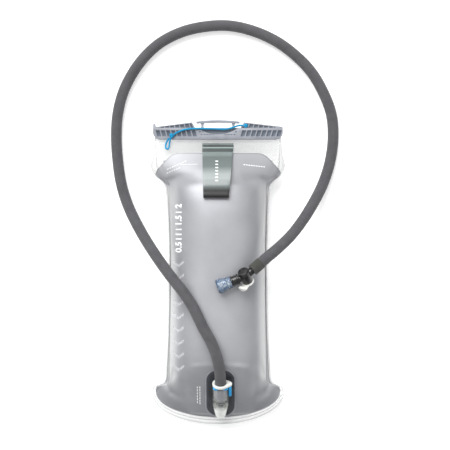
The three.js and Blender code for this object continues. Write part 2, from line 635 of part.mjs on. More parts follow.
function flangeGeometry() {
  const egg = new THREE.Shape();
  const tangent = Math.acos((flange.radius - flange.lobeRadius) / flange.lobeX);
  egg.absarc(flange.lobeX, 0, flange.lobeRadius, -tangent, tangent, false);
  egg.absarc(0, 0, flange.radius, tangent, 2 * Math.PI - tangent, false);
  const hole = new THREE.Path();
  hole.absarc(0, 0, plug.stemRadius + gap, 0, 2 * Math.PI, true);
  egg.holes.push(hole);
  const plate = upright(egg, flange.thick, 9);
  const counterbore = post(flange.hole, flange.bottom + 1.4, flange.bottom + flange.thick + 1, 20);
  plate.rotateX(-Math.PI / 2).translate(0, flange.bottom, 0);
  return fromSolid(solid(plate).subtract(solid(counterbore)));
}

function addPlug(line) {
  addPart(line, 'plug_stem', plugStem(), finish(colour.grey, 0.45));
  const shellProfile = [
    [plug.stemRadius + gap, plugShell.end + 0.3], [plugShell.noseRadius, plugShell.end],
    [plugShell.radius, plugShell.end + 5], [plugShell.radius, plugShell.top],
    [plug.stemRadius + gap, plugShell.top], [plug.stemRadius + gap, plugShell.end + 0.3],
  ];
  addPart(line, 'plug_shell', lathe(shellProfile, 24), finish(colour.grey, 0.5));
  addPart(line, 'plug_flange', flangeGeometry(), finish(colour.white, 0.35));
  const ringRadius = plug.noseRadius - oRing.groove + gap / 2 + oRing.section;
  for (const [name, height] of [['plug_o_ring_upper', oRing.upper], ['plug_o_ring_lower', oRing.lower]]) {
    addPart(line, name, ring(ringRadius, oRing.section, height), finish(colour.black, 0.7));
  }
  addPart(line, 'release_button', buttonGeometry(), finish(colour.blue, 0.4));
  const { from, to, radius, wire } = latchSpring;
  const spring = coil(radius, wire, from, to, 3, 8);
  spring.rotateZ(-Math.PI / 2).translate(0, latch.bottom + latch.thick / 2, 0);
  addPart(line, 'button_spring', spring, finish(colour.steel, 0.3, 1));
}

// ---- hose ----

function addHose() {
  const sleeve = sweep(hoseRoute, hose.radius, hose.sides, hose.steps, hose.bore);
  addPart(bladder, 'hose_sleeve', sleeve, finish(colour.sleeve, 0.9));
  const tube = sweep(hoseRoute, hose.tube, hose.sides, hose.steps);
  addPart(bladder, 'drink_tube', tube, finish(colour.silicone, 0.3));
}

// ---- bite valve ----

// A solid built on +Y, turned to lie along a direction from the valve's centre.
function toward(geometry, direction) {
  const turn = new THREE.Quaternion().setFromUnitVectors(new THREE.Vector3(0, 1, 0), direction);
  return solid(geometry.applyQuaternion(turn));
}

function valveBodyGeometry() {
  const barrelSolid = toward(post(barrel.radius, barrel.low, barrel.high, 24), valveAxis);
  const inletProfile = lathe([
    [0, 0], [inlet.collar, 0], [inlet.collar, inlet.collarEnd], [inlet.barb, inlet.collarEnd],
    [inlet.barb, inlet.end - 3], [inlet.barb - 0.6, inlet.end], [0, inlet.end],
  ]);
  const inletSolid = toward(inletProfile, inletAxis);
  const neckSolid = toward(lathe([
    [0, 0], [neck.radius, 0], [neck.radius, neck.grooveLow], [neck.groove, neck.grooveLow],
    [neck.groove, neck.grooveHigh], [neck.radius, neck.grooveHigh], [neck.radius, neck.end], [0, neck.end],
  ]), mouthAxis);
  const coreBore = toward(post(barrel.bore, barrel.low - 1, barrel.high + 1, 24), valveAxis);
  const inletBore = toward(post(inlet.passage, 0, inlet.end + 1, 12), inletAxis);
  const neckBore = toward(post(neck.passage, 0, neck.end + 1, 12), mouthAxis);
  const joined = barrelSolid.add(inletSolid).add(neckSolid);
  return fromSolid(joined.subtract(coreBore).subtract(inletBore).subtract(neckBore));
}

function leverGeometry() {
  const across = new THREE.Vector3().crossVectors(leverAxis, valveAxis).normalize();
  const basis = new THREE.Matrix4().makeBasis(leverAxis, valveAxis, across);
  const low = leverDisc.top - leverDisc.thick;
  const disc = solid(post(leverDisc.radius, low, leverDisc.top, 24));
  const bar = solid(block(0, paddle.reach, low, leverDisc.top, -paddle.halfWidth, paddle.halfWidth));
  const lip = solid(block(
    paddle.reach - 2.4, paddle.reach, leverDisc.top - 0.2, leverDisc.top + paddle.lip,
    -paddle.halfWidth, paddle.halfWidth,
  ));
  const geometry = fromSolid(disc.add(bar).add(lip));
  return geometry.applyMatrix4(basis);
}

function mouthpieceGeometry() {
  const { start, end, wall } = mouthpiece;
  const profile = [
    [5.4, start], [7.6, start], [7.9, start + 1.4], [7.2, start + 2], [7.2, start + 3], [8, start + 3.6],
    [8, start + 5], [7.4, start + 5.6], [9.3, end - 6], [9.3, end - 2], [8, end], [0, end],
    [0, end - wall], [7, end - wall - 0.6], [7.2, end - 6], [5.4, start + 5.6], [5.4, start],
  ];
  const turned = lathe(profile, 20);
  const position = turned.getAttribute('position');
  for (let i = 0; i < position.count; i++) {
    const out = smooth(start + 5.6, end - 4, position.getY(i));
    position.setZ(i, position.getZ(i) * (1 - out * (1 - mouthpiece.halfHeight / mouthpiece.halfWidth)));
  }
  return turned;
}

function addValve() {
  const valve = new THREE.Group();
  valve.position.copy(valveCentre);
  bladder.add(valve);
  const black = finish(colour.black, 0.3);
  addPart(valve, 'valve_body', valveBodyGeometry(), black);
  const spindle = axisGroup(new THREE.Vector3(), valveAxis);
  valve.add(spindle);
  addPart(spindle, 'valve_cap', lathe([
    [0, cap.low], [cap.radius, cap.low], [cap.radius, cap.rim], [cap.radius - 1.6, cap.top - 0.8],
    [0, cap.top],
  ], 24), black);
  const coreSolid = toward(post(core.radius, core.low, core.high, 20), valveAxis);
  const passage = toward(post(core.passage, -8, 8, 12), mouthAxis);
  addPart(valve, 'valve_core', fromSolid(coreSolid.subtract(passage)), finish(colour.white, 0.4));
  addPart(valve, 'shutoff_lever', leverGeometry(), finish(colour.white, 0.35));
  const cuffLine = axisGroup(new THREE.Vector3(), inletAxis);
  valve.add(cuffLine);
  addPart(cuffLine, 'hose_cuff', lathe([
    [cuff.bore, cuff.start], [cuff.radius, cuff.start], [cuff.radius, cuff.end], [cuff.bore, cuff.end],
    [cuff.bore, cuff.start],
  ]), finish(colour.sleeve, 0.8));
  const mouthLine = axisGroup(new THREE.Vector3(), mouthAxis);
  valve.add(mouthLine);
  addPart(mouthLine, 'mouth_o_ring', ring(4.35, 0.45, (neck.grooveLow + neck.grooveHigh) / 2), black);
  addPart(mouthLine, 'mouth_collar', lathe([
    [collar.bore, collar.start], [collar.radius, collar.start], [collar.radius, collar.end],
    [collar.bore, collar.end], [collar.bore, collar.start],
  ]), black);
  addPart(mouthLine, 'bite_mouthpiece', mouthpieceGeometry(), finish(colour.silicone, 0.2));
}

addBag();
addClosure();
addTether();
addStrap();
const portFrame = new THREE.Group();
portFrame.position.set(port.x, port.y, port.z);
portFrame.rotation.x = port.tilt;
bladder.add(portFrame);
addPlug(addPort(portFrame));
addHose();
addValve();

export default bladder;
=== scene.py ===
"""Insulated hydration bladder, lying on its back with its drink hose looped round it.

Sizes are in millimetres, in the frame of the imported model. Each mesh is made in metres.
"""

import math

import bmesh
import bpy
import numpy as np
from mathutils import Matrix, Vector


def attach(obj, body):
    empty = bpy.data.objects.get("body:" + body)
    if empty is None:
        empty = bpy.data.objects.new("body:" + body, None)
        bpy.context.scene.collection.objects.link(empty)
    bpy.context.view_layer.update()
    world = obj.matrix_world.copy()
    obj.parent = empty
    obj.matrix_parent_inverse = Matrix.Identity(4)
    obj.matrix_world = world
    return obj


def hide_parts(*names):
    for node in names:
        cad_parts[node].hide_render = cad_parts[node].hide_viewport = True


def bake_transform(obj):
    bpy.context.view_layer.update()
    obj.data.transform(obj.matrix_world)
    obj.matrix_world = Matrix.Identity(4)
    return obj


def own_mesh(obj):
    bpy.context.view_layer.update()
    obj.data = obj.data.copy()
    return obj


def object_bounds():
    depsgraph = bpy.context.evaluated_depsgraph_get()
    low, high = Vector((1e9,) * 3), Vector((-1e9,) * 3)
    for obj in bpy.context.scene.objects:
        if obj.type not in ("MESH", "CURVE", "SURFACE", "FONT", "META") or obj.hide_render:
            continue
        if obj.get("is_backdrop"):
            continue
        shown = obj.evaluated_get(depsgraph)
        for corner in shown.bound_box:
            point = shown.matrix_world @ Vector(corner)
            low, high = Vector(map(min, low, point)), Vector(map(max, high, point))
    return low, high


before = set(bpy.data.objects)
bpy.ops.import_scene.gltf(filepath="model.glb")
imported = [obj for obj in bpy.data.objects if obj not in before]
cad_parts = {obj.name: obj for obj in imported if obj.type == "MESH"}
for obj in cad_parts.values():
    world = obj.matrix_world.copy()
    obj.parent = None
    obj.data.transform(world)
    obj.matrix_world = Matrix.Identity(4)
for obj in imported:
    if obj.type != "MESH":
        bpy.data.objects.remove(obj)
cad_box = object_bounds()
MM = 0.001


# ---- Studio ----
# A pale floor under a wide soft light that is brightest overhead and fades towards the horizon,
# with a broad lamp beyond the slider end and a small one. The camera looks straight down.
CAMERA_HEIGHT = 2200
CAMERA_OVER = (8.9, 59.7)
SEEN_WIDTH = 571.5
SENSOR = 36
FLOOR_HALF = 6.0
FLOOR_LEVEL = -0.4


def node(tree, kind, inputs=(), **settings):
    """A shader node with its settings made; each input is a value, or a socket to link."""
    made = tree.nodes.new("ShaderNode" + kind)
    for key, value in settings.items():
        setattr(made, key, value)
    for key, value in dict(inputs).items():
        if isinstance(value, bpy.types.NodeSocket):
            tree.links.new(value, made.inputs[key])
        else:
            made.inputs[key].default_value = value
    return made


def ramp(tree, factor, stops):
    """The colour along a row of stops, each a position and a colour."""
    made = node(tree, "ValToRGB", {"Fac": factor})
    points = made.color_ramp.elements
    while len(points) < len(stops):
        points.new(1)
    for point, (position, colour) in zip(points, stops):
        point.position = position
        point.color = colour
    return made.outputs["Color"]


def mixed(tree, share, first, second, way="MIX"):
    """Two colours mixed by a share, in the way that a blend type names."""
    made = node(tree, "Mix", {0: share, 6: first, 7: second}, data_type="RGBA", blend_type=way)
    return made.outputs[2]


def tone(red, green, blue):
    """A display colour as the linear colour that shaders take."""
    return tuple((c / 255) ** 2.2 for c in (red, green, blue)) + (1,)


def shown(name, data):
    """An object in the scene that shows some data."""
    made = bpy.data.objects.new(name, data)
    bpy.context.scene.collection.objects.link(made)
    return made


def add_studio():
    data = bpy.data.cameras.new("camera")
    data.sensor_width = SENSOR
    data.lens = SENSOR * CAMERA_HEIGHT / SEEN_WIDTH
    camera = shown("camera", data)
    camera.location = Vector((*CAMERA_OVER, CAMERA_HEIGHT)) * MM
    bpy.context.scene.camera = camera

    world = bpy.data.worlds.new("studio")
    bpy.context.scene.world = world
    world.use_nodes = True
    tree = world.node_tree
    shader = tree.nodes["Background"]
    way = node(tree, "TexCoord").outputs["Generated"]
    height = node(tree, "SeparateXYZ", {"Vector": way}).outputs["Z"]
    sky = ramp(tree, height, [
        (0.0, (0.16, 0.165, 0.175, 1)), (0.35, (0.3, 0.305, 0.315, 1)), (0.8, (1, 1, 1, 1)),
    ])
    camera_ray = node(tree, "LightPath").outputs["Is Camera Ray"]
    backdrop = mixed(tree, camera_ray, sky, (1.2, 1.2, 1.2, 1))
    tree.links.new(backdrop, shader.inputs["Color"])
    shader.inputs["Strength"].default_value = 0.85

    # a broad soft lamp, and a small weak one that gives the glossy pieces their highlights
    for name, energy, angle, turn in (("lamp", 2.8, 44, (-39, -19)), ("glint", 0.16, 8, (-27, -11))):
        lamp = bpy.data.lights.new(name, "SUN")
        lamp.energy = energy
        lamp.angle = math.radians(angle)
        holder = shown(name, lamp)
        holder.rotation_euler = (math.radians(turn[0]), math.radians(turn[1]), 0)

    floor_material = bpy.data.materials.new("floor")
    floor_material.use_nodes = True
    paint = floor_material.node_tree.nodes["Principled BSDF"]
    paint.inputs["Base Color"].default_value = (0.93, 0.93, 0.93, 1)
    paint.inputs["Roughness"].default_value = 0.9
    paint.inputs["Specular IOR Level"].default_value = 0.1
    paint.inputs["Emission Color"].default_value = (1, 1, 1, 1)
    paint.inputs["Emission Strength"].default_value = 0.36
    mesh = bpy.data.meshes.new("floor")
    signs = [(-1, -1), (1, -1), (1, 1), (-1, 1)]
    corners = [(x * FLOOR_HALF, y * FLOOR_HALF, FLOOR_LEVEL * MM) for x, y in signs]
    mesh.from_pydata(corners, [], [(0, 1, 2, 3)])
    mesh.materials.append(floor_material)
    shown("floor", mesh)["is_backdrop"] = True
    bpy.context.scene.view_settings.view_transform = "Standard"


add_studio()


# ---- Drink hose ----
# A soft drink tube in a knitted insulating sleeve that runs from the plug to the bite valve.
# The sleeve is one closed tube along the hose's line; the yarns follow its own UV map.
HOSE_RADIUS = 6.9
HOSE_BORE = 5.2
STEPS_TO_A_SPAN = 18
HOSE_ROUTE = [
    (3.4, -136.65, 61.1), (3.2, -129.0, 65.4), (2.2, -118.0, 70.5), (-0.8, -104.0, 74.2),
    (-7.0, -86.5, 75.2), (-19.2, -64.0, 74.4), (-29.9, -42.2, 72.4), (-42.1, -23.6, 68.5),
    (-60.4, -0.9, 59.0), (-79.8, 25.4, 42.0), (-98.1, 53.9, 23.0), (-113.8, 84.8, 9.8),
    (-122.4, 112.0, 7.2), (-126.8, 141.1, 7.2), (-128.6, 170.1, 7.2), (-127.0, 199.2, 7.2),
    (-119.8, 228.0, 7.2), (-106.5, 254.3, 7.2), (-90.0, 275.5, 7.2), (-70.6, 291.8, 7.2),
    (-44.0, 304.6, 7.2), (-14.9, 311.0, 7.2), (14.2, 311.9, 7.2), (43.2, 305.7, 7.2),
    (72.3, 293.0, 7.2), (97.4, 274.9, 7.2), (118.4, 253.0, 7.2), (134.6, 224.7, 7.2),
    (143.6, 199.2, 7.2), (145.7, 170.1, 7.2), (142.0, 141.1, 7.8), (132.6, 111.9, 13.0),
    (115.1, 79.2, 26.5), (92.7, 48.6, 46.0), (70.7, 28.0, 65.0), (60.6, 19.9, 70.4),
    (53.4, 13.6, 72.5),
]


def finish(name, roughness, sockets=()):
    """A material with its node tree and its main shader."""
    material = bpy.data.materials.new(name)
    material.use_nodes = True
    tree = material.node_tree
    shader = tree.nodes["Principled BSDF"]
    shader.inputs["Roughness"].default_value = roughness
    for key, value in dict(sockets).items():
        shader.inputs[key].default_value = value
    return material, tree, shader


def coloured(tree, shader, factor, stops):
    """Colours a shader along a row of stops."""
    tree.links.new(ramp(tree, factor, stops), shader.inputs["Base Color"])


def maths(tree, operation, *values):
    made = node(tree, "Math", dict(enumerate(values)), operation=operation)
    return made.outputs[0]


def raise_by(tree, shader, height, depth, strength=1.0):
    """Bump of a height from 0 to 1, as deep as depth millimetres."""
    made = node(tree, "Bump", {"Height": height, "Strength": strength, "Distance": depth * MM})
    tree.links.new(made.outputs["Normal"], shader.inputs["Normal"])


def speckle(tree, scale, detail=3, roughness=0.5):
    """Noise in the object's own space; scale is in grains to a metre."""
    place = node(tree, "TexCoord").outputs["Object"]
    made = node(tree, "TexNoise", {"Vector": place, "Scale": scale, "Detail": detail, "Roughness": roughness})
    return made.outputs["Fac"]


def braided(name, dark, light, around, pitch, depth):
    """Crossing yarns round a tube: `around` of them, each pitch millimetres along the tube."""
    material, tree, shader = finish(name, 0.85, {"Sheen Weight": 0.12, "Sheen Roughness": 0.5})
    uv = node(tree, "SeparateXYZ", {"Vector": node(tree, "UVMap").outputs["UV"]})
    turn = maths(tree, "MULTIPLY", uv.outputs["X"], 2 * math.pi * around)
    run = maths(tree, "MULTIPLY", uv.outputs["Y"], 2 * math.pi / pitch)
    right = maths(tree, "SINE", maths(tree, "ADD", turn, run))
    left = maths(tree, "SINE", maths(tree, "SUBTRACT", turn, run))
    yarn = maths(tree, "MULTIPLY_ADD", maths(tree, "MAXIMUM", right, left), 0.5, 0.5)
    worn = speckle(tree, 90, 5)
    height = maths(tree, "MULTIPLY_ADD", worn, 0.6, maths(tree, "MULTIPLY", yarn, 0.7))
    coloured(tree, shader, height, [(0.25, dark), (0.95, light)])
    raise_by(tree, shader, height, depth)
    return material


def smooth_path(points, steps):
    """Centripetal spline through the points, with so many steps to a span."""
    p = np.array(points, float)
    p = np.vstack([2 * p[0] - p[1], p, 2 * p[-1] - p[-2]])
    path = []
    for a, b, c, d in zip(p[:-3], p[1:-2], p[2:-1], p[3:]):
        gaps = [np.linalg.norm(v - u) ** 0.5 for u, v in ((a, b), (b, c), (c, d))]
        k0, k1, k2, k3 = np.cumsum([0] + gaps)
        for t in np.linspace(k1, k2, steps, endpoint=False):
            ab = ((k1 - t) * a + (t - k0) * b) / (k1 - k0)
            bc = ((k2 - t) * b + (t - k1) * c) / (k2 - k1)
            cd = ((k3 - t) * c + (t - k2) * d) / (k3 - k2)
            abc = ((k2 - t) * ab + (t - k0) * bc) / (k2 - k0)
            bcd = ((k3 - t) * bc + (t - k1) * cd) / (k3 - k1)
            path.append(((k2 - t) * abc + (t - k1) * bcd) / (k2 - k1))
    path.append(p[-2])
    return np.array(path)


def shaded(made, sharp=40):
    """Shades a piece smooth, but for edges that turn by more than so many degrees."""
    made.data.shade_smooth()
    made.data.set_sharp_from_angle(angle=math.radians(sharp))
    return made


def piece(name, points, faces, material, uvs=None, sharp=38):
    """An object from points in millimetres, with doubles merged and its faces turned out."""
    mesh = bpy.data.meshes.new(name)
    mesh.from_pydata(np.asarray(points, float) * MM, [], faces)
    if uvs is not None:
        layer = mesh.uv_layers.new(name="UVMap")
        layer.data.foreach_set("uv", np.array(uvs, np.float32).ravel())
    bm = bmesh.new()
    bm.from_mesh(mesh)
    bmesh.ops.remove_doubles(bm, verts=bm.verts, dist=1e-6)
    if bm.calc_volume(signed=True) < 0:
        bmesh.ops.reverse_faces(bm, faces=bm.faces)
    bm.to_mesh(mesh)
    bm.free()
    mesh.materials.append(material)
    return shaded(shown(name, mesh), sharp)


def loft(name, loops, material, wrap=False, place=None, along=None, sharp=38):
    """A closed skin over a row of loops that have as many points each. Its ends are capped, or
    with wrap the last loop joins the first. The UV map holds the turn and the place along."""
    count = len(loops[0])
    points = np.vstack(loops)
    if place is not None:
        points = points @ np.array(place.to_3x3()).T + np.array(place.translation)
    along = list(range(len(loops) + 1)) if along is None else list(along)
    faces = []
    uvs = []
    spans = len(loops) if wrap else len(loops) - 1
    for j in range(spans):
        here = j * count
        there = (j + 1) % len(loops) * count
        for i in range(count):
            k = (i + 1) % count
            faces.append((here + i, here + k, there + k, there + i))
            u, v = i / count, (i + 1) / count
            uvs += [(u, along[j]), (v, along[j]), (v, along[j + 1]), (u, along[j + 1])]
    if not wrap:
        faces.append(tuple(reversed(range(count))))
        faces.append(tuple(range(spans * count, spans * count + count)))
        uvs += [(0, along[0])] * count + [(0, along[spans])] * count
    return piece(name, points, faces, material, uvs, sharp)


def turns(count):
    """Points round a circle of radius 1, as a column for each axis."""
    angle = np.linspace(0, 2 * math.pi, count, endpoint=False)
    return np.cos(angle)[:, None], np.sin(angle)[:, None]


def run_along(path):
    """How far each point of a path lies from its start."""
    return np.concatenate([[0], np.cumsum(np.linalg.norm(np.diff(path, axis=0), axis=1))])


def tube(name, path, radius, sides, material, bore=0.0):
    """A closed tube along the path, hollow if it has a bore."""
    ahead = np.gradient(path, axis=0)
    ahead /= np.linalg.norm(ahead, axis=1)[:, None]
    up = np.cross(ahead[0], (0.0, 0.1, 1.0))
    cos, sin = turns(sides)
    outer = []
    inner = []
    for centre, way in zip(path, ahead):
        up = up - way * (up @ way)
        up /= np.linalg.norm(up)
        circle = cos * up + sin * np.cross(way, up)
        outer.append(centre + radius * circle)
        inner.append(centre + bore * circle)
    run = run_along(path)
    if not bore:
        return loft(name, outer, material, along=run)
    run = [*run, *run[::-1], run[0]]
    return loft(name, outer + inner[::-1], material, wrap=True, along=run)


def dress(made, body, slot_name, *stands_for):
    """Gives a piece its body, if it rides one alone, and hides the model's nodes that it stands for;
    slot_name is not used.
    """
    if body:
        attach(made, body)
    if stands_for:
        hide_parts(*stands_for)
    return made


hose_path = smooth_path(HOSE_ROUTE, STEPS_TO_A_SPAN)
knit = braided("knitted_sleeve", tone(46, 46, 49), tone(92, 92, 95), 24, 2.6, 0.25)
sleeve = tube("knitted_sleeve", hose_path, HOSE_RADIUS, 40, knit, HOSE_BORE)
dress(sleeve, None, "sleeve_fabric", "hose_sleeve")


# ---- Tether ----
# A braided blue cord. Its stop knot is on the slider; its other end passes a hole in the clear
# film and is tied back on itself. One closed tube follows the run, the noose and the loop.
CORD_RADIUS = 1.1
TETHER_RUN = [
    (32.2, 184.5, 27.4), (27.0, 184.6, 27.4), (22.4, 183.3, 29.2), (16.4, 181.2, 29.5), (8.6, 179.8, 29.5),
    (2.1, 180.0, 29.5), (-12, 180.4, 29.5), (-26.6, 180.6, 29.5), (-35.0, 180.3, 29.5), (-43.4, 178.8, 29.5),
    (-49.5, 176.4, 29.7), (-54.4, 173.4, 30.3),
]
TETHER_LOOP = [
    (-59.1, 168.3, 29.9), (-60.0, 166.0, 29.5), (-60.7, 162.0, 29.0), (-61.1, 158.0, 29.8),
    (-62.6, 154.9, 31.0), (-64.9, 155.6, 30.9), (-65.4, 159.9, 29.3), (-63.6, 164.6, 29.2),
    (-61.4, 168.6, 30.0),
]
# each knot's node, body, centre and size
KNOTS = {
    "stop_knot": ("tether_stop_knot", "slider", (35.0, 184.2, 27.6), 2.5),
    "noose_knot": ("tether_noose_knot", "root", (-57.9, 171.7, 31.2), 2.9),
}

tether_path = smooth_path(TETHER_RUN + TETHER_LOOP, 10)
cord_weave = braided("tether_cord", tone(4, 86, 134), tone(16, 164, 216), 6, 2.4, 0.3)
tether = tube("tether", tether_path, CORD_RADIUS, 16, cord_weave)
dress(tether, None, "tether", "tether_cord", "tether_loop")


def overhand_knot(name, centre, size):
    """A tight knot: one closed turn of cord that winds three times through itself."""
    path = []
    for turn in np.linspace(0, 2 * math.pi, 90, endpoint=False):
        out = 0.62 + 0.38 * math.cos(3 * turn)
        path.append((out * math.cos(2 * turn), out * math.sin(2 * turn), 0.5 * math.sin(3 * turn)))
    path = np.array(path) * (size - CORD_RADIUS * 0.6) + np.array(centre)
    path = np.vstack([path, path[:1]])
    return tube(name, path, CORD_RADIUS * 0.95, 12, cord_weave)


for name, (cad_node, body, centre, size) in KNOTS.items():
    dress(overhand_knot(name, centre, size), body, "tether", cad_node)


# ---- Bag ----
# Two welded faces. Each is a silver film laminated on foam, with a clear film beyond the foam
# that makes the rim, the corner ears and the mouth. Rows of points follow the filled shape.
FILM = 0.4
FOAM = 2.0
LINER = 0.3
GAP = 0.3
PORT_AT = (3.4, -149.75, 39.8)
PORT_TILT = math.radians(30)
# the front is drawn flat round the port: across from its middle, above it and below it
FLAT_ACROSS = (21, 46)
FLAT_ABOVE = (-118.5, -94)
FLAT_BELOW = (-181, -176)
# how far the face can be drawn, at the port and past the place where the pull has faded
PULL = 8
FADED_PULL = 1.2
PULL_FADES = (-121, -110)
# points of a face across, along and out to the rim's edge, and the part that has foam behind it
FACE_POINTS = (121, 205, 6)
FOAM_ACROSS = 0.82
FOAM_ALONG = (0.9, 13.4)
# along the bag: side y, middle y, rim and weld half-widths, seam height, front rise, back drop
STATIONS = np.array([
    (-150, -181.5, 83.6, 78, 16, 0, 0), (-144, -170, 81, 71, 17, 9.3, 13),
    (-139.5, -156, 70, 64, 18.5, 16.5, 17), (-134, -140, 66.3, 61.5, 20.5, 24, 19.8),
    (-116, -117, 65.2, 61, 23, 33.5, 22.3), (-85, -85, 63.6, 60.3, 25.5, 38.8, 24.8),
    (-40, -40, 62.3, 59.5, 26, 40, 25.3), (10, 10, 61.8, 59.2, 26, 40, 25.3),
    (55, 55, 62.8, 59.8, 26, 40, 25.3), (88, 87, 64.3, 60.5, 25.5, 38.5, 24.8),
    (107, 107, 65.8, 61, 24.5, 35, 23.8), (114, 117, 70, 62.5, 24.2, 30.5, 23.2),
    (122, 127, 79, 65.5, 24, 25, 21.5), (134, 138, 84.2, 70, 23.5, 18, 18),
    (148, 150, 81, 74, 23, 10.5, 11), (160, 160.5, 79.4, 76, 22.4, 4.5, 4.5),
    (166.3, 166.3, 79, 77, 22, 0.2, 0.2), (171.8, 171.8, 79, 77, 22, 0, 0),
])
SIDE, MIDDLE, RIM, WELD, SEAM, FRONT, BACK = range(7)
BOTTOM_RIM = (83.6, -150, -191.4)
# folds of the filled front: start, end, widths at both, depth at the start
FOLDS = [
    ((-63, 115), (-45, 60), 3.0, 13, 3.4), ((65, 115), (47, 60), 3.0, 13, 3.4),
    ((-64, 114), (-20, 128), 3.0, 9, 1.6), ((66, 114), (24, 128), 3.0, 9, 1.6),
    ((-63, -137), (-38, -98), 3.0, 12, 3.0), ((65, -136), (40, -92), 3.0, 12, 3.0),
    ((-60, -150), (-30, -168), 4.0, 8, 1.2), ((62, -150), (36, -166), 4.0, 8, 1.2),
]


def along(column, place):
    """One station column at a place along the bag, by a cubic that never overshoots."""
    value = STATIONS[:, column]
    rise = np.diff(value)
    product = rise[:-1] * rise[1:]
    total = np.where(product > 0, rise[:-1] + rise[1:], 1)
    slope = np.concatenate([rise[:1], np.where(product > 0, 2 * product / total, 0), rise[-1:]])
    i = np.clip(np.floor(place).astype(int), 0, len(value) - 2)
    f = place - i
    ends = value[i] * (2 * f**3 - 3 * f**2 + 1) + value[i + 1] * (3 * f**2 - 2 * f**3)
    return ends + slope[i] * (f**3 - 2 * f**2 + f) + slope[i + 1] * (f**3 - f**2)


def smooth(start, end, value):
    """A smooth step from 0 at the start to 1 at the end."""
    f = np.clip((value - start) / (end - start), 0, 1)
    return f * f * (3 - 2 * f)


def fold_depth(x, y):
    """How far the folds press the front in at a point."""
    depth = np.zeros_like(x)
    for start, end, near, far, most in FOLDS:
        run = np.subtract(end, start)
        length = np.linalg.norm(run)
        s = ((x - start[0]) * run[0] + (y - start[1]) * run[1]) / length**2
        off = ((x - start[0]) * run[1] - (y - start[1]) * run[0]) / length
        width = near + (far - near) * np.clip(s, 0, 1)
        depth += most * smooth(-0.12, 0.06, s) * (1 - smooth(0.1, 1, s)) * np.exp(-((off / width) ** 2))
    return depth


def ripple(x, y):
    """The slow unevenness of a filled film face, within a millimetre."""
    waves = np.sin(x / 17 + 0.6 * np.sin(y / 31)) * np.sin(y / 43 + 0.8)
    return 0.35 * waves + 0.22 * np.sin(x / 9.5 - y / 21) * np.sin(y / 27 + x / 40)


def bag_points(across, place, face):
    """Points of the outer film's outer side: across from -1 to 1, place along the stations,
    face 1 for the front and -1 for the back."""
    t = np.clip(np.abs(across), 0, 1)
    side = along(SIDE, place)
    x = across * along(WELD, place)
    y = side + (along(MIDDLE, place) - side) * np.sqrt(1 - t**2)
    z = face_height(x, place, face)
    if face < 0:
        return np.stack([x, y, z], axis=-1)
    plane = PORT_AT[2] - 2 * GAP + (y - PORT_AT[1]) * math.tan(PORT_TILT)
    flat = 1 - smooth(*FLAT_ACROSS, np.abs(x - PORT_AT[0]))
    flat = flat * (1 - smooth(*FLAT_ABOVE, y)) * smooth(*FLAT_BELOW, y)
    full = (1 - smooth(0.9, 1, t)) * smooth(0, 1, place) * (1 - smooth(14, 15.5, place))
    shaped = z + (ripple(x, y) - fold_depth(x, y)) * full
    # above the port the plate's pull fades, so that the face runs on without a hump
    most = PULL - (PULL - FADED_PULL) * smooth(*PULL_FADES, y)
    return np.stack([x, y, shaped + np.minimum(plane - shaped, most) * flat], axis=-1)


def face_height(x, place, face):
    """Height of a filled face at a distance from the middle. At the corner ears the fullness
    runs out to the rim; elsewhere it ends at the weld."""
    t = np.clip(np.abs(x) / along(WELD, place), 0, 1)
    if face > 0:
        rise, pillow = along(FRONT, place), np.sqrt(1 - t**2.6)
    else:
        rise, pillow = along(BACK, place), np.cbrt(1 - t**4)
    reach = along(RIM, place) - 3
    skirt = (1 - np.clip(np.abs(x) / reach, 0, 1) ** 2) ** 0.85
    top_ears = smooth(9.6, 11.8, place) * (1 - smooth(14.6, 16, place))
    eared = np.maximum(top_ears, 1 - smooth(1.6, 3.4, place))
    full = pillow + (skirt - pillow) * eared
    return along(SEAM, place) + face * (GAP + FILM + rise * full)


def lamination(x, y, place):
    """Distance in from the edge of the silver lamination, in millimetres."""
    middle = 0.5
    half_width = 79.8
    top = 149.7
    chamfer_x, chamfer_y = 57.0, 126.0
    off = np.abs(x - middle)
    side = half_width - off
    square = np.minimum(side, top - y)
    slant = np.array([top - chamfer_y, half_width - chamfer_x])
    slant = slant / np.linalg.norm(slant)
    cut = (chamfer_x - off) * slant[0] + (top - y) * slant[1]
    # a soft minimum rounds the two corners of the chamfer
    ease = 3.0
    near = np.maximum(0, 1 - np.abs(square - cut) / (2 * ease))
    inside = np.minimum(square, cut) - ease * near**2 / 2
    margin = 1.6 + 3.4 * (1 - smooth(0, 3, place))
    return np.minimum(inside, along(RIM, place) - margin - np.abs(x))


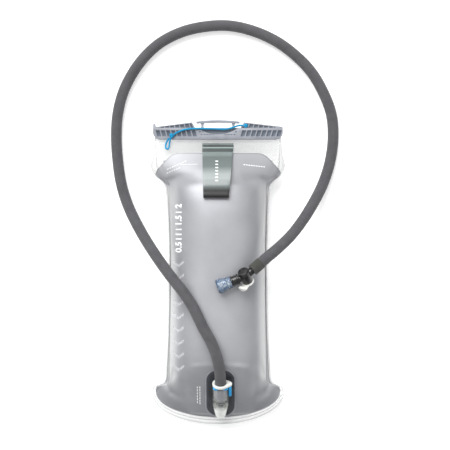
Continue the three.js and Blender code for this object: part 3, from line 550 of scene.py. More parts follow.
def bag_grid(face, columns, rows, rim_steps):
    """Points of one face with its flat rim: rows from the bottom's edge to the mouth. With them
    come how far in from the lamination's edge each point is, and how much of it is rim."""
    spread = np.sin(np.linspace(-1, 1, columns) * math.pi / 2)
    places = np.linspace(0, len(STATIONS) - 1, rows)
    across, place = np.meshgrid(spread, places)
    filled = bag_points(across, place, face)
    shares = np.linspace(0, 1, rim_steps + 1)[1:]
    level = along(SEAM, places) + face * (GAP + FILM)
    grids = []
    weld = along(WELD, places)[:, None]
    for way in (-1, 1):
        half = weld + (along(RIM, places)[:, None] - weld) * shares
        # the rim isn't quite flat: a weld bead near the bag, and a slow wave at its free edge
        bead = 0.35 * np.exp(-(((shares - 0.35) / 0.18) ** 2))[None, :]
        wave = 0.9 * shares[None, :] * np.sin(places[:, None] * 1.7 + way) * smooth(4, 26, half - 58)
        y = np.broadcast_to(along(SIDE, places)[:, None], half.shape)
        z = face_height(half, places[:, None], face)
        grids.append(np.stack([way * half, y, z + bead + wave], axis=-1))
    left, right = grids
    grid = np.concatenate([left[:, ::-1], filled, right], axis=1)
    count = grid.shape[1]
    side_share = np.concatenate([shares[::-1], np.zeros(columns), shares])
    # below the first row the rim goes on to the bottom's edge, which is half an ellipse
    half_width, side_y, end_y = BOTTOM_RIM
    t = np.clip(grid[0, :, 0] / half_width, -1, 1)
    edge_y = side_y + (end_y - side_y) * np.sqrt(1 - t**2)
    edge_y = np.minimum(edge_y, grid[0, :, 1] - 1.2)
    bottom = []
    bottom_shares = np.linspace(1, 0, 10, endpoint=False)
    for share in bottom_shares:
        row = grid[0].copy()
        row[:, 1] += (edge_y - row[:, 1]) * share
        beads = ((0.55, 0.28, 0.13), (0.4, 0.72, 0.14))
        bead = sum(high * math.exp(-(((share - at) / wide) ** 2)) for high, at, wide in beads)
        row[:, 2] = level[0] + bead + 0.8 * share**2 * np.sin(row[:, 0] / 13)
        bottom.append(row)
    grid = np.concatenate([np.array(bottom), grid])
    row_places = np.concatenate([np.zeros(len(bottom)), places])[:, None]
    inside = lamination(grid[..., 0], grid[..., 1], row_places)
    below = bottom_shares[:, None] * -9.0
    inside[:len(bottom)] = np.minimum(inside[:len(bottom)], below)
    rim = np.concatenate([
        np.broadcast_to(bottom_shares[:, None], (len(bottom), count)),
        np.broadcast_to(side_share, (len(places), count)),
    ])
    return grid, inside, rim


def painted_side_light(grid):
    """How much painted light each point gets in the pale band along each side of the face, from 0 to 1."""
    x, y = grid[..., 0], grid[..., 1]
    return 0.85 * smooth(47, 57, np.abs(x)) * smooth(-150, -126, y) * (1 - smooth(100, 118, y))


def normals_of(grid, face):
    """Outward direction at each point of a face's grid."""
    u = np.gradient(grid, axis=1)
    v = np.gradient(grid, axis=0)
    normal = np.cross(u, v)
    size = np.linalg.norm(normal, axis=-1, keepdims=True)
    return face * normal / np.maximum(size, 1e-9)


def sheet_of(name, grid, normal, depth, thick, material, attributes=()):
    """A closed layer under a grid of surface points, from depth to depth + thick below it."""
    rows, columns = grid.shape[:2]
    outer = (grid - normal * depth).reshape(-1, 3)
    inner = (grid - normal * (depth + thick)).reshape(-1, 3)
    at = np.arange(rows * columns).reshape(rows, columns)
    quads = np.stack([at[:-1, :-1], at[:-1, 1:], at[1:, 1:], at[1:, :-1]], axis=-1).reshape(-1, 4)
    rim = np.concatenate([at[0], at[1:, -1], at[-1, -2::-1], at[-2:0:-1, 0]])
    after = np.roll(rim, -1)
    walls = np.stack([rim, rim + rows * columns, after + rows * columns, after], axis=-1)
    faces = np.concatenate([quads, quads[:, ::-1] + rows * columns, walls])
    made = piece(name, np.concatenate([outer, inner]), faces.tolist(), material, sharp=60)
    for key, values in dict(attributes).items():
        layer = made.data.attributes.new(key, "FLOAT", "POINT")
        layer.data.foreach_set("value", np.tile(values.ravel(), 2).astype(np.float32))
    return made


def film_finish(name, silver):
    """Clear film that turns to a silver lamination inside the foam's edge."""
    material, tree, shader = finish(name, 0.4, {"Coat Weight": 0.08, "Coat Roughness": 0.3})
    inside = node(tree, "Attribute", attribute_name="inside").outputs["Fac"]
    covered = node(tree, "MapRange", {"Value": inside, "From Min": -0.25, "From Max": 0.25}).outputs[0]
    edge = node(tree, "MapRange", {"Value": inside, "From Min": 0.0, "From Max": 1.6}).outputs[0]
    rim = node(tree, "Attribute", attribute_name="rim").outputs["Fac"]
    cloud = speckle(tree, 26, 4)
    flakes = speckle(tree, 2600, 1)
    dark = tone(*(c - 7 for c in silver))
    light = tone(*(c + 4 for c in silver))
    plain = ramp(tree, cloud, [(0.3, dark), (0.7, light)])
    # painted shade: the face is coloured darker towards the bottom weld
    spot = node(tree, "SeparateXYZ", {"Vector": node(tree, "TexCoord").outputs["Object"]})
    painted_bottom_shade = node(tree, "MapRange", {
        "Value": spot.outputs["Y"], "From Min": -165 * MM, "From Max": -100 * MM,
        "To Min": 0.72, "To Max": 1.0,
    }).outputs[0]
    body = mixed(tree, 1.0, plain, painted_bottom_shade, "MULTIPLY")
    # painted light: a pale band along each side of the silver face
    margin = node(tree, "Attribute", attribute_name="margin").outputs["Fac"]
    with_painted_margin_light = mixed(tree, margin, body, tone(196, 197, 197))
    grey = mixed(tree, edge, tone(118, 120, 124), with_painted_margin_light)
    clear = ramp(tree, rim, [
        (0.0, tone(232, 233, 231)), (0.12, tone(238, 239, 237)), (0.32, tone(250, 250, 249)),
        (0.46, tone(176, 178, 180)), (0.58, tone(246, 246, 246)), (0.8, tone(225, 226, 225)),
        (1.0, tone(205, 206, 205)),
    ])
    tree.links.new(mixed(tree, covered, clear, grey), shader.inputs["Base Color"])
    tree.links.new(maths(tree, "MULTIPLY", covered, 0.3), shader.inputs["Metallic"])
    opacity = maths(tree, "MULTIPLY_ADD", rim, 0.3, 0.12)
    alpha = node(tree, "Mix", {0: covered, 2: opacity, 3: 1.0}).outputs[0]
    tree.links.new(alpha, shader.inputs["Alpha"])
    grain = maths(tree, "MULTIPLY_ADD", cloud, 0.5, maths(tree, "MULTIPLY", flakes, 0.5))
    rough = maths(tree, "MULTIPLY_ADD", grain, 0.16, 0.34)
    tree.links.new(rough, shader.inputs["Roughness"])
    raise_by(tree, shader, grain, 0.12, 0.6)
    return material


def foam_finish():
    """Grey foam with fine open cells."""
    material, tree, shader = finish("foam", 0.9)
    pores = speckle(tree, 1800, 2)
    coloured(tree, shader, pores, [(0.35, tone(120, 121, 124)), (0.65, tone(168, 169, 171))])
    raise_by(tree, shader, pores, 0.4)
    return material


def liner_finish():
    """Smooth, slightly hazy drinking-water film."""
    material, tree, shader = finish("drinking_film", 0.2, {"Alpha": 0.45})
    haze = speckle(tree, 60, 3)
    coloured(tree, shader, haze, [(0.3, tone(222, 230, 232)), (0.7, tone(238, 243, 244))])
    raise_by(tree, shader, haze, 0.2)
    return material


film_materials = {
    1: film_finish("front_film", (166, 167, 171)),
    -1: film_finish("back_film", (163, 164, 168)),
}
foam_material = foam_finish()
liner_material = liner_finish()
skins = {}
for face, side in ((1, "front"), (-1, "back")):
    grid, inside, rim = bag_grid(face, *FACE_POINTS)
    skins[face] = sheet_of(
        f"{side}_skin", grid, normals_of(grid, face), 0, FILM, film_materials[face],
        {"inside": inside, "rim": rim, "margin": painted_side_light(grid)},
    )
    dress(skins[face], "root", "film", f"{side}_film")
    # the inner layers stop short of the welds and of the mouth
    spread = np.sin(np.linspace(-FOAM_ACROSS, FOAM_ACROSS, 61) * math.pi / 2)
    across, place = np.meshgrid(spread, np.linspace(*FOAM_ALONG, 90))
    core = bag_points(across, place, face)
    core_normal = normals_of(core, face)
    foam = sheet_of(f"{side}_foam", core, core_normal, FILM + GAP / 2, FOAM, foam_material)
    dress(foam, "root", "insulation", f"{side}_insulation")
    lining = sheet_of(f"{side}_lining", core, core_normal, FILM + FOAM + GAP, LINER, liner_material)
    dress(lining, "root", "liner", f"{side}_liner")


# ---- Prints on the bag ----
# White ink on the front film: a capacity scale with its numbers, a fill line and plain marks.
# A row of bars or a number is cut fine, dropped onto the film, and given the ink's thickness.
INK = 0.06
INK_LIFT = 0.05
DROP_FROM = 0.2
SCALE_X = -48.5
SCALE_HEIGHT = 7.6
SCALE_NUMBERS = (("2", 83), ("1.5", 65), ("1", 48), ("0.5", 32))
SCALE_TICKS = (42.4, 54.2, 75.5)


def ink_finish(name, colour, cover):
    """Printed ink, a little paler where it is worn; cover is how much of the film it hides."""
    material, tree, shader = finish(name, 0.45, {"Alpha": cover})
    wear = speckle(tree, 700, 3)
    pale = tuple(min(1, c * 1.05) for c in colour[:3]) + (1,)
    coloured(tree, shader, wear, [(0.3, colour), (0.6, pale)])
    raise_by(tree, shader, wear, 0.03)
    return material


def new_row_tree(name, lengths):
    """An empty geometry tree that takes a count, some lengths and a finish, and gives a row."""
    tree = bpy.data.node_groups.new(name, "GeometryNodeTree")
    kinds = {"Count": "Int", **dict.fromkeys(lengths, "Float"), "Finish": "Material"}
    for key, kind in kinds.items():
        tree.interface.new_socket(key, in_out="INPUT", socket_type="NodeSocket" + kind)
    tree.interface.new_socket("Row", in_out="OUTPUT", socket_type="NodeSocketGeometry")
    return tree, tree.nodes.new("NodeGroupInput").outputs


def add_step(tree, kind, **links):
    """A geometry node with its inputs linked; a space in an input's name is an underscore."""
    made = tree.nodes.new(kind)
    for key, socket in links.items():
        tree.links.new(socket, made.inputs[key.replace("_", " ")])
    return made


def give_row(tree, given, shape, offset):
    """Repeats a shape at every offset, and gives the row as one mesh with its finish."""
    line = add_step(tree, "GeometryNodeMeshLine", Count=given["Count"], Offset=offset)
    row = add_step(tree, "GeometryNodeInstanceOnPoints", Points=line.outputs[0], Instance=shape)
    real = add_step(tree, "GeometryNodeRealizeInstances", Geometry=row.outputs[0])
    done = add_step(tree, "GeometryNodeSetMaterial", Geometry=real.outputs[0], Material=given["Finish"])
    tree.links.new(done.outputs[0], tree.nodes.new("NodeGroupOutput").inputs["Row"])


def bar_row_tree():
    """Geometry nodes: a row of like bars, leaning by a share of their height."""
    tree, given = new_row_tree("bar_row", ("Pitch", "Width", "Height", "Thick", "Lean"))
    size = add_step(tree, "ShaderNodeCombineXYZ", X=given["Width"], Y=given["Height"], Z=given["Thick"])
    cube = add_step(tree, "GeometryNodeMeshCube", Size=size.outputs[0])
    position = tree.nodes.new("GeometryNodeInputPosition").outputs[0]
    spot = add_step(tree, "ShaderNodeSeparateXYZ", Vector=position)
    lean = tree.nodes.new("ShaderNodeMath")
    lean.operation = "MULTIPLY"
    tree.links.new(spot.outputs["Y"], lean.inputs[0])
    tree.links.new(given["Lean"], lean.inputs[1])
    shift = add_step(tree, "ShaderNodeCombineXYZ", X=lean.outputs[0])
    bar = add_step(tree, "GeometryNodeSetPosition", Geometry=cube.outputs["Mesh"], Offset=shift.outputs[0])
    pitch = add_step(tree, "ShaderNodeCombineXYZ", X=given["Pitch"])
    give_row(tree, given, bar.outputs[0], pitch.outputs[0])
    return tree


def baked(made):
    """The plain mesh that a piece's modifiers make."""
    depsgraph = bpy.context.evaluated_depsgraph_get()
    return bpy.data.meshes.new_from_object(made.evaluated_get(depsgraph))


def grown(name, tree, sizes):
    """The plain mesh that a geometry tree makes from its named inputs."""
    seed = shown("seed", bpy.data.meshes.new("seed"))
    modifier = seed.modifiers.new("grow", "NODES")
    modifier.node_group = tree
    for item in tree.interface.items_tree:
        if item.in_out == "INPUT":
            modifier[item.identifier] = sizes[item.name]
    mesh = baked(seed)
    bpy.data.objects.remove(seed)
    mesh.materials.clear()
    mesh.materials.append(sizes["Finish"])
    return shown(name, mesh)


bar_row = bar_row_tree()


def bars(name, material, start, count, pitch, width, height, thick=1.0, lean=0.0, turn=0.0):
    """A row of bars from a start point, in millimetres, running along +X before its turn."""
    made = grown(name, bar_row, {
        "Count": count, "Pitch": pitch * MM, "Width": width * MM, "Height": height * MM,
        "Thick": thick * MM, "Lean": lean, "Finish": material,
    })
    made.data.transform(Matrix.Translation(Vector(start) * MM) @ Matrix.Rotation(turn, 4, "Z"))
    return made


def number(text, height, at, turn):
    """A number in a plain face, as a flat mesh."""
    curve = bpy.data.curves.new("number", "FONT")
    curve.body = text
    curve.size = height * 1.42 * MM
    curve.offset = 0.06 * height * MM
    curve.align_x = "CENTER"
    curve.align_y = "CENTER"
    writer = shown("writer", curve)
    mesh = baked(writer)
    bpy.data.objects.remove(writer)
    mesh.transform(Matrix.Translation(Vector((*at, 0)) * MM) @ Matrix.Rotation(turn, 4, "Z"))
    return shown("number", mesh)


def printed(name, flats, ground, material):
    """One thin closed print from flat meshes, following the face of the ground object."""
    longest = 3.2 * MM
    whole = bmesh.new()
    for flat in flats:
        part = bmesh.new()
        part.from_mesh(flat.data)
        part.verts.ensure_lookup_table()
        highest = max(v.co.z for v in part.verts)
        low = [v for v in part.verts if v.co.z < highest - 1e-6]
        bmesh.ops.delete(part, geom=low, context="VERTS")
        bmesh.ops.triangulate(part, faces=part.faces)
        for _ in range(5):
            long = [e for e in part.edges if e.calc_length() > longest]
            if long:
                bmesh.ops.subdivide_edges(part, edges=long, cuts=1)
                bmesh.ops.triangulate(part, faces=part.faces)
        mesh = bpy.data.meshes.new("flat")
        part.to_mesh(mesh)
        whole.from_mesh(mesh)
        part.free()
        bpy.data.meshes.remove(mesh)
        bpy.data.objects.remove(flat)
    bmesh.ops.remove_doubles(whole, verts=whole.verts, dist=1e-6)
    for v in whole.verts:
        _, spot, normal, _ = ground.ray_cast((v.co.x, v.co.y, DROP_FROM), (0, 0, -1))
        v.co = spot + normal * INK_LIFT * MM
    bmesh.ops.recalc_face_normals(whole, faces=whole.faces)
    if sum(f.normal.z * f.calc_area() for f in whole.faces) < 0:
        bmesh.ops.reverse_faces(whole, faces=whole.faces)
    bmesh.ops.solidify(whole, geom=whole.faces[:], thickness=-INK * MM)
    bmesh.ops.recalc_face_normals(whole, faces=whole.faces)
    mesh = bpy.data.meshes.new(name)
    whole.to_mesh(mesh)
    whole.free()
    mesh.materials.append(material)
    return shown(name, mesh)


white_ink = ink_finish("white_ink", tone(246, 247, 248), 1.0)
pale_ink = ink_finish("pale_ink", tone(232, 233, 235), 0.3)
quarter = math.pi / 2
prints = {
    "capacity_scale": [
        *(number(text, SCALE_HEIGHT, (SCALE_X, y), quarter) for text, y in SCALE_NUMBERS),
        *(
            bars("tick", white_ink, (SCALE_X, y, 0), 1, 1, 1.5, SCALE_HEIGHT, turn=quarter)
            for y in SCALE_TICKS
        ),
    ],
    "fill_line": [
        bars("left_dashes", white_ink, (-62.5, 129.6, 0), 8, 3.4, 2.2, 0.7, turn=math.radians(24)),
        bars("left_short", white_ink, (-63.0, 124.8, 0), 6, 3.2, 2.0, 0.6, turn=math.radians(22)),
        bars("line", white_ink, (-36, 135.4, 0), 1, 1, 22, 0.35),
        bars("right_dashes", white_ink, (33, 134.9, 0), 9, 3.1, 2.1, 1.1, turn=math.radians(-6)),
    ],
    "care_marks": [
        bars("care_long", white_ink, (-25.6, -142.5, 0), 6, -3.9, 2.6, 0.8, turn=quarter),
        bars("care_short", white_ink, (-22.4, -142.5, 0), 7, -3.5, 2.4, 1.0, turn=quarter),
    ],
    "large_chevrons": [
        bars("large_left", pale_ink, (-52.3, -118, 0), 9, 16.2, 3.6, 7.0, lean=0.75, turn=quarter),
        bars("large_right", pale_ink, (-45.3, -118, 0), 9, 16.2, 3.6, 7.0, lean=-0.75, turn=quarter),
    ],
}
for name, flats in prints.items():
    ink = pale_ink if name == "large_chevrons" else white_ink
    dress(printed(name, flats, skins[1], ink), "root", "film")


# ---- Slider ----
# The closure: a moulded grey channel that slides over two welded rails, with a thumb prong, two
# ribbed fins and an arched handle. Its pockets are cut, and then every edge is rounded.
SLIDER_END = 81.5
SLIDER_LOW = 167.2
SLIDER_TOP = 181.4
SLIDER_Z = (16, 28)
SLIDER_MID = 22
FIN_Z = (19.4, 24.6)
POCKET = 1.5
SMILE = (27, 173.4, 8.6)
HANDLE_HALF = 27.5
CELL_PITCH = 6.4
CELL_WIDTH = 4.9
CELL_LEAN = 0.28


def prism(name, outline, low, high, material):
    """A closed straight block on an outline in X and Y."""
    count = len(outline)
    points = [(x, y, z) for z in (low, high) for x, y in outline]
    faces = [tuple(reversed(range(count))), tuple(range(count, 2 * count))]
    for i in range(count):
        k = (i + 1) % count
        faces.append((i, k, k + count, i + count))
    return piece(name, points, faces, material)


def arc(cx, cy, radius, start, end, steps=8):
    """Points of an arc between two angles in degrees."""
    angles = np.radians(np.linspace(start, end, steps + 1))
    return [(cx + radius * math.cos(a), cy + radius * math.sin(a)) for a in angles]


def combined(base, tool, operation):
    """The base after the tool is joined to it, cut from it or kept in common; both are used up."""
    modifier = base.modifiers.new("combine", "BOOLEAN")
    modifier.operation = operation
    modifier.solver = "EXACT"
    modifier.object = tool
    mesh = baked(base)
    base.modifiers.remove(modifier)
    base.data = mesh
    bpy.data.objects.remove(tool)
    return base


def eased(made, width):
    """Rounds the edges of a piece and shades it smooth between its sharp ones."""
    modifier = made.modifiers.new("ease", "BEVEL")
    modifier.width = width * MM
    modifier.segments = 2
    modifier.limit_method = "ANGLE"
    modifier.angle_limit = math.radians(35)
    mesh = baked(made)
    made.modifiers.remove(modifier)
    made.data = mesh
    return shaded(made)


def moulded(name, dark, light, roughness, grain=0.05, sockets=()):
    """Injection-moulded plastic: slight flow clouds, a fine spark-eroded grain, uneven gloss."""
    material, tree, shader = finish(name, roughness, sockets)
    cloud = speckle(tree, 55, 4)
    grit = speckle(tree, 2400, 2)
    coloured(tree, shader, cloud, [(0.3, dark), (0.7, light)])
    uneven = maths(tree, "MULTIPLY_ADD", cloud, 0.4, maths(tree, "MULTIPLY", grit, 0.6))
    rough = maths(tree, "MULTIPLY_ADD", uneven, 0.14, roughness - 0.07)
    tree.links.new(rough, shader.inputs["Roughness"])
    raise_by(tree, shader, uneven, grain)
    return material


def slider_finish():
    """Grey plastic with painted shade in its pockets: their floors are a darker, bluer grey than its ribs."""
    material, tree, shader = finish("slider_plastic", 0.42)
    spot = node(tree, "SeparateXYZ", {"Vector": node(tree, "TexCoord").outputs["Object"]})
    body_floor = maths(tree, "LESS_THAN", spot.outputs["Z"], (SLIDER_Z[1] - 0.55) * MM)
    above_body = maths(tree, "GREATER_THAN", spot.outputs["Y"], (SLIDER_TOP + 0.05) * MM)
    fin_floor = maths(tree, "LESS_THAN", spot.outputs["Z"], (FIN_Z[1] - 0.45) * MM)
    on_body = maths(tree, "SUBTRACT", body_floor, above_body)
    on_fin = maths(tree, "MULTIPLY", above_body, fin_floor)
    sunk = maths(tree, "MAXIMUM", on_body, on_fin)
    cloud = speckle(tree, 70, 4)
    ribs = ramp(tree, cloud, [(0.3, tone(134, 137, 145)), (0.7, tone(152, 155, 163))])
    # painted shade: the pocket floors are coloured a darker, bluer grey
    painted_pocket_shade = ramp(tree, cloud, [(0.3, tone(78, 86, 98)), (0.7, tone(94, 103, 115))])
    tree.links.new(mixed(tree, sunk, ribs, painted_pocket_shade), shader.inputs["Base Color"])
    raise_by(tree, shader, speckle(tree, 2400, 2), 0.05)
    return material


def cells(name, start, count, y, height, lean, low, high):
    """A row of leaning blocks, ready to cut a row of pockets."""
    middle = (low + high) / 2
    place = (start, y, middle)
    return bars(name, slider_plastic, place, count, CELL_PITCH, CELL_WIDTH, height, high - low, lean)


def slider_body():
    """The channel: a bar with rounded lower corners, a hollow, two rows of pockets and a slot."""
    outline = [(-SLIDER_END, SLIDER_TOP)]
    outline += arc(-SLIDER_END + 9, SLIDER_LOW + 9, 9, 180, 270)
    outline += arc(SLIDER_END - 9, SLIDER_LOW + 9, 9, -90, 0)
    outline += [(SLIDER_END, SLIDER_TOP)]
    body = prism("grey_slider", outline, *SLIDER_Z, slider_plastic)
    # the smile-shaped hollow under the handle
    half, low, rise = SMILE
    smile = [(x, low + rise * (x / half) ** 2) for x in np.linspace(-half, half, 19)]
    hollow = prism("smile", smile, SLIDER_Z[1] - POCKET, SLIDER_Z[1] + 1, slider_plastic)
    body = combined(body, hollow, "DIFFERENCE")
    for start, lean in ((-74.5, -CELL_LEAN), (32.0, CELL_LEAN)):
        row = cells("row", start, 8, 174.6, 7.6, lean, SLIDER_Z[1] - POCKET, SLIDER_Z[1] + 1)
        body = combined(body, row, "DIFFERENCE")
    # the channel that holds the rails, closed at the left end
    for half, low, high in ((1.5, 160.0, 172.0), (3.6, 171.5, 179.4)):
        outline = [(-SLIDER_END + 2, low), (90, low), (90, high), (-SLIDER_END + 2, high)]
        channel = prism("channel", outline, SLIDER_MID - half, SLIDER_MID + half, slider_plastic)
        body = combined(body, channel, "DIFFERENCE")
    return body


def slider_fins():
    """The two tapering fins above the channel, each with its row of windows."""
    foot = SLIDER_TOP - 0.8
    left = [
        (-28, foot), (-32.6, 188.7), (-78, 182.9), *arc(-80, 185.6, 1.5, -10, 170, 6), (-SLIDER_END, foot),
    ]
    right = [(28, foot), (32.6, 188.7), (80.6, 183.2), (SLIDER_END, 182.2), (SLIDER_END, foot)]
    inset_left = [(-30.6, 181.9), (-33.7, 187.4), (-72, 182.7), (-72, 181.9)]
    inset_right = [(30.6, 181.9), (33.7, 187.4), (72, 182.9), (72, 181.9)]
    fins = None
    sides = ((left, inset_left, -70.6, -CELL_LEAN), (right, inset_right, 35.4, CELL_LEAN))
    for outline, inset, start, lean in sides:
        fin = prism("fin", outline, *FIN_Z, slider_plastic)
        window = prism("window", inset, FIN_Z[1] - 1.2, FIN_Z[1] + 1, slider_plastic)
        row = cells("row", start, 7, 184.5, 6.4, lean, FIN_Z[1] - 2, FIN_Z[1] + 2)
        fin = combined(fin, combined(window, row, "INTERSECT"), "DIFFERENCE")
        fins = fin if fins is None else combined(fins, fin, "UNION")
    return fins


def slider_handle():
    """The arched handle between the fins, on two waisted posts."""
    foot = SLIDER_TOP - 0.8
    crown_top, belly_top = 191.4, 188.2
    crown = np.linspace(HANDLE_HALF, -HANDLE_HALF, 15)
    belly = np.linspace(-HANDLE_HALF + 0.7, HANDLE_HALF - 0.7, 13)
    crown = [(x, crown_top - 1.9 * (x / HANDLE_HALF) ** 2) for x in crown]
    belly = [(x, belly_top - 1.1 * (x / HANDLE_HALF) ** 2) for x in belly]
    handle = prism("handle", crown + belly, FIN_Z[0], FIN_Z[1] + 0.6, slider_plastic)
    # the posts, which are narrowest half way up
    for way in (-1, 1):
        post = [(17, foot), (22.2, foot), (20.6, 184.0), (22.2, 188.4), (17, 188.4), (18.2, 184.0)]
        post = [(way * x, y) for x, y in post]
        handle = combined(handle, prism("post", post, *FIN_Z, slider_plastic), "UNION")
    return handle


slider_plastic = slider_finish()
grey_slider = combined(slider_body(), slider_fins(), "UNION")
grey_slider = combined(grey_slider, slider_handle(), "UNION")
grey_slider = eased(grey_slider, 0.28)
dress(grey_slider, "slider", "slider_plastic", "slider")

dark_ink = ink_finish("dark_ink", tone(84, 92, 104), 1.0)
grips = [
    bars("upper_grips", dark_ink, (-22.5, 176.6, 0), 13, 3.75, 2.2, 1.5),
    bars("lower_grips", dark_ink, (-20.5, 173.2, 0), 12, 3.75, 2.2, 1.3),
]
dress(printed("slider_marks", grips, grey_slider, dark_ink), "slider", "slider_plastic")


def repaint(cad_node, material):
    """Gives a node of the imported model, which stays as it is, its finish."""
    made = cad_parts[cad_node]
    made.data.materials.clear()
    made.data.materials.append(material)



rail_material = moulded("rail_plastic", tone(205, 210, 208), tone(224, 228, 226), 0.35)
for rail in ("front_rail", "back_rail"):
    repaint(rail, rail_material)


# ---- Hanging strap ----
# A grey-green webbing loop, folded back on itself and welded to the bag below the slider under
# a narrow bar. It is one flat band swept round the loop, with its selvedges and printed lines.
STRAP_HALF = 19.6
STRAP_NARROWS = 0.19
STRAP_TOP = 158.2
STRAP_FOLD = 97
STRAP_PLY = 1.0
STRAP_LOOP = 9
STRAP_LIFT = 0.6


def film_height(x, y):
    """Height of the bag's front over a point, in millimetres."""
    _, spot, _, _ = skins[1].ray_cast((x * MM, y * MM, DROP_FROM), (0, 0, -1))
    return spot.z / MM


def strap_line():
    """Middle of the band, as places in Y and Z: up the lower ply, round the fold and back."""
    lower = []
    upper = []
    for y in np.linspace(STRAP_TOP, STRAP_FOLD, 34):
        ground = film_height(0, y) + STRAP_LIFT
        open_by = STRAP_LOOP * smooth(STRAP_TOP - 10, STRAP_FOLD + 17, y)
        open_by *= 1 - 0.3 * smooth(STRAP_FOLD + 14, STRAP_FOLD, y)
        lower.append((y, ground + STRAP_PLY / 2))
        upper.append((y, ground + 1.5 * STRAP_PLY + max(open_by, 0.2)))
    middle = (lower[-1][1] + upper[-1][1]) / 2
    radius = (upper[-1][1] - lower[-1][1]) / 2
    bend = arc(STRAP_FOLD, middle, radius, 270, 90, 16)[1:-1]
    return np.array(upper + bend[::-1] + lower[::-1])


def strap_finish():
    """Plain-woven webbing with pale bands by the weld, a painted highlight over the bend and painted shade
    that makes it dark at the fold.
    """
    material, tree, shader = finish("strap_webbing", 0.45, {"Coat Weight": 0.7, "Coat Roughness": 0.24})
    uv = node(tree, "SeparateXYZ", {"Vector": node(tree, "UVMap").outputs["UV"]})
    spot = node(tree, "SeparateXYZ", {"Vector": node(tree, "TexCoord").outputs["Object"]})
    warp = maths(tree, "SINE", maths(tree, "MULTIPLY", spot.outputs["X"], 2 * math.pi / (1.1 * MM)))
    weft = maths(tree, "SINE", maths(tree, "MULTIPLY", uv.outputs["Y"], 2 * math.pi / 0.9))
    weave = maths(tree, "MULTIPLY_ADD", maths(tree, "MULTIPLY", warp, weft), 0.5, 0.5)
    fleck = speckle(tree, 1400, 2)
    height = maths(tree, "MULTIPLY_ADD", weave, 0.6, maths(tree, "MULTIPLY", fleck, 0.4))
    cloth = ramp(tree, height, [(0.25, tone(88, 98, 97)), (0.8, tone(112, 123, 121))])
    run = maths(tree, "MULTIPLY", uv.outputs["Y"], 0.01)
    # the bands multiply the colour of the cloth, so that plain green is 1
    dark, green, painted_fold_shade = tone(150, 156, 154), (1, 1, 1, 1), tone(24, 27, 28)
    pale, line = (2.9, 2.55, 2.6, 1), (2.6, 2.6, 2.6, 1)
    by_the_weld = [
        (0.0, dark), (0.016, dark), (0.02, line), (0.03, line), (0.034, dark), (0.084, dark),
        (0.094, (1.4, 1.4, 1.4, 1)), (0.15, (1.3, 1.3, 1.3, 1)), (0.16, green),
    ]
    # painted highlight and shade: a pale band over the bend, then black where the loop folds under
    painted_light_and_shade_on_bend = [(0.34, green), (0.48, pale), (0.54, pale), (0.64, green), (0.7, painted_fold_shade)]
    bands = ramp(tree, run, by_the_weld + painted_light_and_shade_on_bend)
    tree.links.new(mixed(tree, 1.0, cloth, bands, "MULTIPLY"), shader.inputs["Base Color"])
    raise_by(tree, shader, height, 0.12)
    return material


def strap_band():
    """The band, swept along the strap's line and tapered towards the fold."""
    line = strap_line()
    ahead = np.gradient(line, axis=0)
    ahead /= np.linalg.norm(ahead, axis=1)[:, None]
    out = np.stack([-ahead[:, 1], ahead[:, 0]], axis=1)
    # section of the band: flat faces and rounded selvedges, from side to side and back
    half = STRAP_PLY / 2
    across = np.linspace(-1, 1, 13)
    loops = []
    for (y, z), (out_y, out_z) in zip(line, out):
        down = np.clip((STRAP_TOP - y) / (STRAP_TOP - STRAP_FOLD), 0, 1)
        width = STRAP_HALF * (1 - STRAP_NARROWS * down)
        face = [(s * (width - half), half * (1 - 0.25 * abs(s) ** 6)) for s in across]
        edge = [(width - half * 0.3, half * 0.6), (width, 0), (width - half * 0.3, -half * 0.6)]
        section = face + edge + [(x, -h) for x, h in face[::-1]] + [(-x, h) for x, h in edge[::-1]]
        loops.append(np.array([(x - 2 * down, y + h * out_y, z + h * out_z) for x, h in section]))
    return loft("hanging_strap", loops, strap_finish(), along=run_along(line), sharp=50)


strap = strap_band()
dress(strap, "strap", "strap", "hang_strap")
strap_marks = [bars("marks", white_ink, (-1.3, 139, 0), 7, -4.1, 1.5, 3.4, turn=quarter)]
dress(printed("strap_marks", strap_marks, strap, white_ink), "strap", "strap")

repaint("strap_anchor", moulded("strap_bar", tone(96, 104, 102), tone(112, 121, 119), 0.4))


# ---- Port ----
# A dark moulded plate with a raised welded border, and on it the frosted socket that the plug
# clicks into. Inside is the sprung poppet that shuts the port when the plug is out.
port_place = Matrix.Translation(PORT_AT) @ Matrix.Rotation(PORT_TILT, 4, "X")
AXIS_HEIGHT = 11.9
AXIS_SHIFT = 4
line_place = port_place @ Matrix.Translation((0, AXIS_SHIFT, AXIS_HEIGHT))
# half width, half length and corner of the plate; gap to the border, its width and height
PATCH = (17.1, 34.3, 15)
PATCH_THICK = 1.6
BORDER_GAP = 0.3
BORDER = (2.2, 0.9)
SOCKET = [
    (0, -30.5), (5.4, -30.5), (6.6, -28.0), (9.8, -13.0), (9.8, 13.0),
    (8.5, 13.0), (8.5, -4.2), (5.8, -4.2), (5.8, -25.6), (0, -25.6),
]
NOTCH = [(7.5, 0.6), (10.8, 0.6), (10.8, 14), (7.5, 14)]
NOTCH_HALF = 4.4


def softened(profile, radius, closed=True):
    """A profile whose corners are turned into small curves; corners on the axis stay."""
    steps = 4
    points = [np.array(p, float) for p in profile]
    out = []
    for i, here in enumerate(points):
        ends = not closed and i in (0, len(points) - 1)
        if ends or here[0] < 1e-6:
            out.append(tuple(here))
            continue
        back = points[i - 1] - here
        on = points[(i + 1) % len(points)] - here
        reach = min(radius, 0.45 * np.linalg.norm(back), 0.45 * np.linalg.norm(on))
        a = here + back / np.linalg.norm(back) * reach
        b = here + on / np.linalg.norm(on) * reach
        for t in np.linspace(0, 1, steps + 1):
            out.append(tuple((1 - t) ** 2 * a + 2 * t * (1 - t) * here + t**2 * b))
    return out


